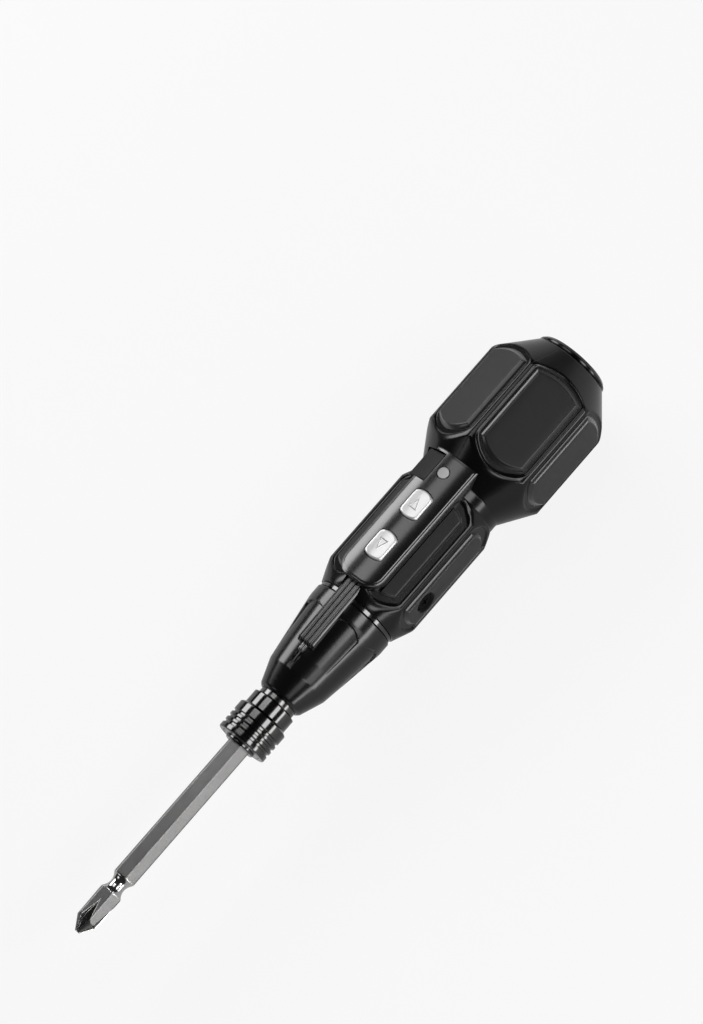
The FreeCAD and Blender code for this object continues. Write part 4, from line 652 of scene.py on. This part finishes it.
# a button: the strip's roundness a little higher, its edges rolled over
# and a three-sided outline pressed into its top
def buttonPiece(name, place, point, body, node):
    # 1 within the line's half width of the outline, which is two slanted sides and a base
    def groove(x, y):
        long, half = buttons["pointLong"], buttons["pointHalf"]
        u = (x - place) * point
        side = (half * (u - long) + 2 * long * np.abs(y)) / math.hypot(half, 2 * long)
        return softStep(np.abs(np.maximum(side, -long - u)) - buttons["line"], buttons["soft"])

    # the round top less the rolled edge and the pressed line
    def height(x, y):
        rim = edgeDrop(-archedDistance(x - place, y, buttonPlan), buttons["edge"])
        return np.sqrt(buttons["radius"] ** 2 - y * y) - rim - buttons["depth"] * groove(x, y)

    long = buttonPlan["rear"] + buttonPlan["rearBow"]
    fine, edge = buttons["fineFrom"], buttons["edgeShare"]
    x = gradedSteps(-long, long, [(-long, -fine), (fine, long)], *buttons["rowSteps"])
    arc = np.sqrt(np.clip(1 - (np.abs(x) - buttonPlan["rear"]) / buttonPlan["rearBow"], 0, None))
    full = np.full(x.shape, buttonPlan["half"])
    half = np.maximum(softMin(full, full * arc, buttons["shoulder"]), buttons["leastHalf"])
    across = gradedSteps(-1, 1, [(-1, -edge), (edge, 1)], *buttons["shareSteps"])
    piece = stripPiece(name, x + place, half, across, height, buttons["floor"], sharp=45, mark=groove)
    dress(piece, body, "button_silver", node)


# the pressed line on the buttons is darker: the mark runs with the surface
silver, silverTone = looks["button_silver"], finishes["button_silver"]
bright = silver.blend(silver.cloud(silverTone["patch"]), silverTone["dark"], silverTone["light"])
pressed = silver.mark() * buttons["pressed"]
silver.shade(Base_Color=silver.blend(pressed, bright, buttons["pressedTone"]))
buttonPiece("button_forward", buttons["places"][0], -1, "forward_button", "forward_button")
buttonPiece("button_reverse", buttons["places"][1], 1, "reverse_button", "reverse_button")

# the flap over the charging port: a block with rolled edges on its facet
flapPlan = dict(front=flap["x"] - flap["half"], frontBow=0.0, rear=flap["x"] + flap["half"], rearBow=0.0,
                half=1.0)
flapRise = flap["top"] - flap["floor"]
flapEdge = [(flap["foot"], 0.0), (0.0, flap["foot"])]
flapEdge += [(inset, flapRise - drop) for inset, drop in flap["roll"]]
flapRings = [atHeight(archedOutline(flapPlan, -flap["hinge"], -flap["low"], inset), height)
             for inset, height in flapEdge]
flapInner = flapRings[-1][:, :2]
flapCore = np.stack([np.clip(flapInner[:, 0], *around(flap["x"], flap["core"])),
                     np.full(len(flapInner), -(flap["hinge"] + flap["low"]) / 2)], 1)
flapRings = [atHeight(flapCore, 0.0)] + flapRings
flapRings += [atHeight((flapInner + flapCore) / 2, flapRise), atHeight(flapCore, flapRise)]
flapAlong, flapAcross, flapUp = np.moveaxis(np.stack(flapRings), -1, 0)
flapGrid = onFacet(flapAlong, flapAcross, flap["floor"] + flapUp, flap["facet"])
dress(gridPiece("port_flap", flapGrid, sharp=45), "port_cover", "flap_rubber", "port_cover")
print("strip, buttons and flap made")

nose = dict(stations=[16.56, 17.26, 23.96, 43.96, 47.28, 47.78], radii=[6.2, 6.9, 9.42, 12.4, 12.4, 11.9],
            blends=[0.2, 0.15, 0.5, 0.1], panelHalf=24.5, panelRear=42.8, panelCorner=1.8, panelFront=29.0,
            panelDepth=0.55, panelBlend=0.5, panelEdge=0.07, bore=[(47.78, 10.9), (24.4, 7.4), (16.56, 5.75)],
            fineRows=[(16.56, 17.6), (23.4, 31.6), (40.2, 43.6), (46.9, 47.78)], rowSteps=(0.14, 0.6),
            columnSteps=(0.5, 2.4), panelFine=2.2, topFine=8)
lampGroove = dict(front=23.96, half=0.62, flare=0.16, depth=0.22, deepen=0.25, edge=0.12, ribHalf=0.16,
                  ribEdge=0.14)
lampSeat = dict(x=29.86, half=1.1, ahead=0.3, rear=31.3, floor=9.45, edge=0.08)

# ridge over the lamp's wires: three rounded ribs along it and a sloped lip at each side, its front sloped
ridge = dict(front=31.21, rear=52.35, topFront=12.26, topRear=13.08, halfFront=2.75, halfRear=2.8, floor=9.6,
             slope=0.8, slopeSoft=0.15, pitch=1.5, ribHalf=0.49, deep=0.52, lip=0.36, lipDrop=0.20,
             lipLean=0.78, lipSoft=0.04, seat=0.75, seatIn=0.6, seatBehind=0.3, seatEdge=0.05, fineTo=32.8,
             rowSteps=(0.08, 0.5), columns=131)


# the turned nose with six panels that deepen toward the rear; on the button side a groove
# with a rib along it, the lamp's seat and room for the ridge
def noseRadius(x, theta):
    radius = softLine(x, nose["stations"], nose["radii"], nose["blends"])
    off = (theta % 60) - 30
    share = off / nose["panelHalf"]
    side = np.radians(np.abs(off) - nose["panelHalf"]) * radius
    rear = x - nose["panelRear"] + nose["panelCorner"] * share * share
    deep = np.clip((x - nose["panelFront"]) / (nose["panelRear"] - nose["panelFront"]), 0, 1)
    panel = softStep(softMax(side, rear, nose["panelBlend"]), nose["panelEdge"])
    radius = radius - nose["panelDepth"] * deep * panel
    y = radius * np.sin(np.radians(theta))
    top = np.cos(np.radians(theta)) > 0
    far = np.clip((x - lampGroove["front"]) / (lampSeat["x"] - lampGroove["front"]), 0, 1)
    ends = np.maximum(lampGroove["front"] - x, x - lampSeat["x"])
    groove = np.maximum(np.abs(y) - lampGroove["half"] - lampGroove["flare"] * far, ends)
    rib = softStep(np.abs(y) - lampGroove["ribHalf"], lampGroove["ribEdge"])
    depth = lampGroove["depth"] + lampGroove["deepen"] * far
    radius = radius - top * depth * softStep(groove, lampGroove["edge"]) * (1 - rib)
    under = np.maximum(np.abs(y) - ridge["halfFront"] + ridge["seatIn"],
                       ridge["front"] + ridge["seatBehind"] - x)
    radius = radius - top * ridge["seat"] * softStep(under, ridge["seatEdge"])
    ends = np.maximum(lampSeat["x"] - lampSeat["ahead"] - x, x - lampSeat["rear"])
    seat = np.maximum(np.abs(y) - lampSeat["half"], ends)
    return radius - top * softStep(seat, lampSeat["edge"]) * np.maximum(radius - lampSeat["floor"], 0)


noseX = gradedSteps(nose["stations"][0], nose["stations"][-1], nose["fineRows"], *nose["rowSteps"])
noseZones = [around(60 * k + 30 + side * nose["panelHalf"], nose["panelFine"])
             for k in range(6) for side in (-1, 1)]
noseZones += [(0, nose["topFine"]), (360 - nose["topFine"], 360)]
noseTheta = gradedSteps(0, 360, noseZones, *nose["columnSteps"])[:-1]
noseOuter = polar(noseX[:, None], noseRadius(noseX[:, None], noseTheta[None, :]), noseTheta[None, :])
noseBore = np.array(nose["bore"])
noseInner = polar(noseBore[:, :1], noseBore[:, 1:], noseTheta[None, :])
noseGrid = np.concatenate([noseOuter, noseInner])
dress(gridPiece("nose_shell", noseGrid, True, sharp=38),
      "handle", "housing_plastic", "nose_cone", look="nose_plastic")


# a size of the ridge at x, changing evenly from its front to its rear
def ridgeSize(x, front, rear):
    return front + (rear - front) * ((x - ridge["front"]) / (ridge["rear"] - ridge["front"]))


# top line less the hollows between the ribs: 1 less the root of 1 less the cube of the offset in rib halves;
# the lips and the front slope away from it
def ridgeHeight(x, y):
    half = ridgeSize(x, ridge["halfFront"], ridge["halfRear"])
    top = ridgeSize(x, ridge["topFront"], ridge["topRear"])
    rib = np.clip(np.round(y / ridge["pitch"]), -1, 1) * ridge["pitch"]
    off = np.clip(np.abs(y - rib) / ridge["ribHalf"], 0, 1)
    hollow = ridge["deep"] * (1 - (1 - off ** 3) ** 0.5)
    fall = ridge["lipDrop"] + ridge["lipLean"] * (ridge["lip"] - half + np.abs(y))
    lip = softStep(half - np.abs(y) - ridge["lip"], ridge["lipSoft"]) * (hollow - fall)
    return top - hollow + lip - softHinge(ridge["slope"] - (x - ridge["front"]), ridge["slopeSoft"])


ridgeX = gradedSteps(ridge["front"], ridge["rear"], [(ridge["front"], ridge["fineTo"])], *ridge["rowSteps"])
ridgeHalf = ridgeSize(ridgeX, ridge["halfFront"], ridge["halfRear"])
ridgeAcross = np.linspace(-1, 1, ridge["columns"])
dress(stripPiece("lamp_ridge", ridgeX, ridgeHalf, ridgeAcross, ridgeHeight, ridge["floor"], sharp=55),
      "handle", "housing_plastic", "lead_cover", look="strip_plastic")

# the turned pieces' corners are (x, radius, fillet); the collar has three square grooves and a taper
collar = dict(rear=14.66, radius=7.7, rearRadius=6.64, bore=6.15, depth=0.47, slope=0.14, start=2.56,
              pitch=1.83, width=0.97, land=9.92, taper=10.68, ridge=0.24, root=0.10, waist=0.22, front=0.94,
              edge=0.45, mouth=0.2, rearEdge=0.3, rearMouth=0.15)
collarLine = [(collar["front"], collar["bore"], collar["mouth"]),
              (collar["front"], collar["radius"], collar["edge"])]
low = collar["radius"] - collar["depth"]
for number in range(3):
    start = collar["start"] + collar["pitch"] * number
    end = start + collar["width"]
    collarLine += [(start, collar["radius"], collar["ridge"]), (start + collar["slope"], low, collar["root"]),
                   (end - collar["slope"], low, collar["root"]), (end, collar["radius"], collar["ridge"])]
collarLine += [(collar["land"], collar["radius"], collar["waist"]),
               (collar["taper"], collar["rearRadius"], collar["waist"]),
               (collar["rear"], collar["rearRadius"], collar["rearEdge"]),
               (collar["rear"], collar["bore"], collar["rearMouth"])]
dress(turnedPiece("ringed_collar", collarLine), "collar", "black_chrome", "chuck_collar")

washer = [(14.9, 4.4, 0.1), (14.9, 5.64, 0.25), (16.56, 5.64, 0.1), (16.56, 4.4, 0.05)]
dress(turnedPiece("nose_washer", washer), "handle", "bright_metal", "thrust_washer")

tail = [(138.93, 0.0, 0.0), (138.93, 11.2, 0.1), (139.55, 11.2, 0.5), (140.55, 10.2, 0.8), (140.55, 0.0, 0.0)]
# the tail cap is the collar's black chrome, shown with the darker copy as painted shade
dress(turnedPiece("tail_disc", tail), "handle", "black_chrome", "tail_cap", look="shaded_chrome")
print("nose, collar, washer and tail made")

bitSizes = dict(tip=-65.6, inner=24.4, tipRadius=0.75, coneLength=4.4, fluteLength=12.5, fluteRoot=0.62,
                fluteTurn=5, fluteEdge=0.05, leastSlope=0.02, markDepth=0.06, head=13.5, neckLength=5.55,
                neck=2.25, flat=3.175, flatEdge=0.06, trim=0.1, fineRows=[(-65.6, -46.3), (5.0, 24.4)],
                rowSteps=(0.2, 1.6), cornerFine=3, crestFine=5, rootFine=2, columnSteps=(0.7, 1.4))
bitTone = dict(dark=grey(0.13, 0.01), light=grey(0.20, 0.01), polished=grey(0.52, 0.01), grain=0.22,
               patch=6.0, grainShare=0.55, patchShare=0.45, rough=0.15, fluteSmooth=0.07, blast=0.16,
               spread=0.08, depth=0.012)
bitMiddle = (bitSizes["tip"] + bitSizes["inner"]) / 2
bitHalf = (bitSizes["inner"] - bitSizes["tip"]) / 2
neckHalf = bitSizes["neckLength"] / 2

# bit steel: blasted grey with a fine grain, polished in the two necks and where the mark shows a flute
bitLook = Finish("bit-steel", Metallic=1.0)
fromMiddle = abs(bitLook.along("X") - bitMiddle * mm)
fromNeck = abs(fromMiddle - (bitHalf - bitSizes["head"] - neckHalf) * mm)
cutAway = bitLook.mark()
blasted = fromNeck.above(neckHalf * mm) * (1.0 - cutAway)
speckle = bitLook.cloud(bitTone["grain"], detail=3.0, rough=0.65)
tone = bitTone["grainShare"] * speckle + bitTone["patchShare"] * bitLook.cloud(bitTone["patch"])
shaft = bitLook.blend(tone, bitTone["dark"], bitTone["light"])
bitLook.shade(Base_Color=bitLook.blend(blasted, bitTone["polished"], shaft),
              Roughness=bitTone["rough"] - bitTone["fluteSmooth"] * cutAway
              + blasted * (bitTone["blast"] + bitTone["spread"] * speckle))
bitLook.bump(speckle * blasted, bitTone["depth"])
looks["bit_steel"] = bitLook


# six flats trimmed by a turned form, pointed by four vee flutes that run out backwards,
# and a round hollow neck; the second value is 1 where a flute has cut in
def bitRadius(x, theta):
    s = bitSizes
    u = np.minimum(x - s["tip"], s["inner"] - x)
    corner = s["flat"] / math.cos(math.pi / 6)
    turned = s["tipRadius"] + (corner - s["trim"] - s["tipRadius"]) * u / s["coneLength"]
    turned = np.minimum(turned, corner - s["trim"])
    sag = corner - s["neck"]
    bow = (neckHalf * neckHalf + sag * sag) / (2 * sag)
    fromNeck = u - s["head"] - neckHalf
    off = np.clip(fromNeck, -neckHalf, neckHalf)
    neck = s["neck"] + bow - np.sqrt(bow * bow - off * off)
    turned = np.where(np.abs(fromNeck) < neckHalf, np.minimum(neck, turned), turned)
    six = s["flat"] / np.cos(np.radians((theta + 30) % 60 - 30))
    radius = softMin(turned, six, s["flatEdge"])
    phi = np.radians((theta - s["fluteTurn"] + 45) % 90 - 45)
    root = s["fluteRoot"] + (corner - s["fluteRoot"]) * u / s["fluteLength"]
    flute = root / np.maximum(np.cos(phi) - np.abs(np.sin(phi)), s["leastSlope"])
    fluted = u < s["fluteLength"]
    mark = fluted * np.clip((radius - flute) / s["markDepth"], 0, 1)
    return np.where(fluted, softMin(radius, flute, s["fluteEdge"]), radius), mark


bitX = gradedSteps(bitSizes["tip"], bitSizes["inner"], bitSizes["fineRows"], *bitSizes["rowSteps"])
bitZones = [around(60 * k + 30, bitSizes["cornerFine"]) for k in range(6)]
bitZones += [around(90 * k + 45 + bitSizes["fluteTurn"], bitSizes["crestFine"]) for k in range(4)]
bitZones += [around(90 * k + bitSizes["fluteTurn"], bitSizes["rootFine"]) for k in range(4)]
bitTheta = gradedSteps(0, 360, bitZones, *bitSizes["columnSteps"])[:-1]
bitAround, bitCut = bitRadius(bitX[:, None], bitTheta[None, :])
bitGrid = polar(bitX[:, None], bitAround, bitTheta[None, :])
dress(gridPiece("double_bit", bitGrid, ends=True, sharp=28, marks=bitCut), "bit", "bit_steel", "driver_bit")
print("bit made")

# the other pieces are shown by their solids; the spindle, the lamp's leads and the housing screws, seen from
# outside in their openings, take a darker finish than their own: painted shade
shadeInstead = {"spindle": "black_chrome", "led_leads": "switch_black", "housing_screws": "screw_shade"}
for name, solid in frame["nodes"].items():
    if solid.hide_render:
        continue
    slot = next(row["material_slot"] for row in frame["record"]["subparts"] if row["node"] == name)
    solid.data.materials.clear()
    solid.data.materials.append(looks[shadeInstead.get(name, slot)].material)

# the floor is pale paper, partly glowing where it is seen and a little where it is mirrored;
# sizes in metres, the patches of its cloud in millimetres
stage = dict(size=8.0, x=0.04, drop=0.0002, dark=grey(0.56), light=grey(0.58), patch=40.0, seen=0.86,
             mirrored=0.15)
bpy.ops.mesh.primitive_plane_add(size=stage["size"], location=(stage["x"], 0.0, cadBox[0][2] - stage["drop"]))
floor = bpy.context.object
floor.name = "floor"
paper = Finish("pale-paper", Roughness=0.9, Specular_IOR_Level=0.1)
paper.shade(Base_Color=paper.blend(paper.cloud(stage["patch"]), stage["dark"], stage["light"]))
seen, glossy, through = [paper.node("ShaderNodeLightPath", None, None, "Is " + ray + " Ray")
                         for ray in ("Camera", "Glossy", "Transmission")]
glow = stage["seen"] * seen + stage["mirrored"] * (glossy + through)
white = paper.node("ShaderNodeEmission", None, {"Color": grey(1.0), "Strength": 1.0})
matte = Field(paper.tree, paper.shader.outputs[0])
lit = paper.node("ShaderNodeMixShader", None, {0: glow, 1: matte, 2: white})
paper.tree.links.new(lit.socket, paper.tree.nodes["Material Output"].inputs[0])
floor.data.materials.append(paper.material)

# lamps along the tool, in metres: name, angle round the axis from the buttons toward the camera side,
# width, radiance, and where along x it starts and ends
light = dict(distance=0.62, strips=[
    ("camera", 48, 0.19, 6.2, 0.0, 0.47),
    ("front", 48, 0.19, 6.0, -0.33, -0.16),
    ("nose", 60, 0.24, 2.3, -0.16, 0.0),
    ("crown", -14, 0.31, 4.4, 0.09, 0.155),
    ("top", -14, 0.31, 1.9, 0.155, 0.47),
    ("far", -60, 0.27, 6.2, -0.19, 0.47),
    ("ahead", -42, 0.30, 1.9, -0.75, -0.50),
    ("low", 85, 0.12, 7.0, -0.33, 0.47)])
for name, angle, width, radiance, start, end in light["strips"]:
    lamp = bpy.data.lights.new("strip_" + name, "AREA")
    lamp.shape, lamp.size, lamp.size_y = "RECTANGLE", end - start, width
    lamp.energy = radiance * math.pi * (end - start) * width
    holder = bpy.data.objects.new("strip_" + name, lamp)
    out = Vector((0, -math.sin(math.radians(angle)), math.cos(math.radians(angle))))
    along = Vector((1, 0, 0))
    turn = Matrix((along, out.cross(along), out)).transposed().to_4x4()
    middle = Vector(((start + end) / 2, 0, 0))
    holder.matrix_world = Matrix.Translation(middle + out * light["distance"]) @ turn
    scene.collection.objects.link(holder)

# the room: dim overhead, paler toward the horizon
sky = dict(horizon=grey(0.18), overhead=grey(0.03), height=0.12, strength=0.9)
scene.world = bpy.data.worlds.new("room")
scene.world.use_nodes = True
room = NodeBoard(scene.world.node_tree)
outward = room.node("ShaderNodeTexCoord", output="Generated")
lookUp = room.node("ShaderNodeSeparateXYZ", None, {"Vector": outward}, "Z")
skyStops = [(0.0, sky["horizon"]), (sky["height"], sky["overhead"])]
haze = room.node("ShaderNodeValToRGB", {"stops": skyStops}, {"Fac": lookUp})
air = room.node("ShaderNodeBackground", None, {"Color": haze, "Strength": sky["strength"]})
room.tree.links.new(air.socket, room.tree.nodes["World Output"].inputs["Surface"])

view = dict(direction=(-0.1771, -0.4311, 0.8848), roll=48.75, distance=1.2, lens=155.8, target=68.3,
            lift=18.7, sensor=36.0, clip=(0.01, 20.0))
toCamera = Vector(view["direction"]).normalized()
level = Vector((1, 0, 0)) - toCamera * toCamera.x
level.normalize()
rise = toCamera.cross(level)
roll = math.radians(view["roll"])
right = level * math.cos(roll) - rise * math.sin(roll)
upward = level * math.sin(roll) + rise * math.cos(roll)
camera = bpy.data.cameras.new("camera")
camera.lens, camera.sensor_width = view["lens"], view["sensor"]
camera.clip_start, camera.clip_end = view["clip"]
eye = bpy.data.objects.new("camera", camera)
target = Vector((view["target"] * mm, 0, 0)) + rise * view["lift"] * mm
turn = Matrix((right, upward, toCamera)).transposed().to_4x4()
eye.matrix_world = Matrix.Translation(target + toCamera * view["distance"]) @ turn
scene.collection.objects.link(eye)
scene.camera = eye
print("stage, light and camera set")
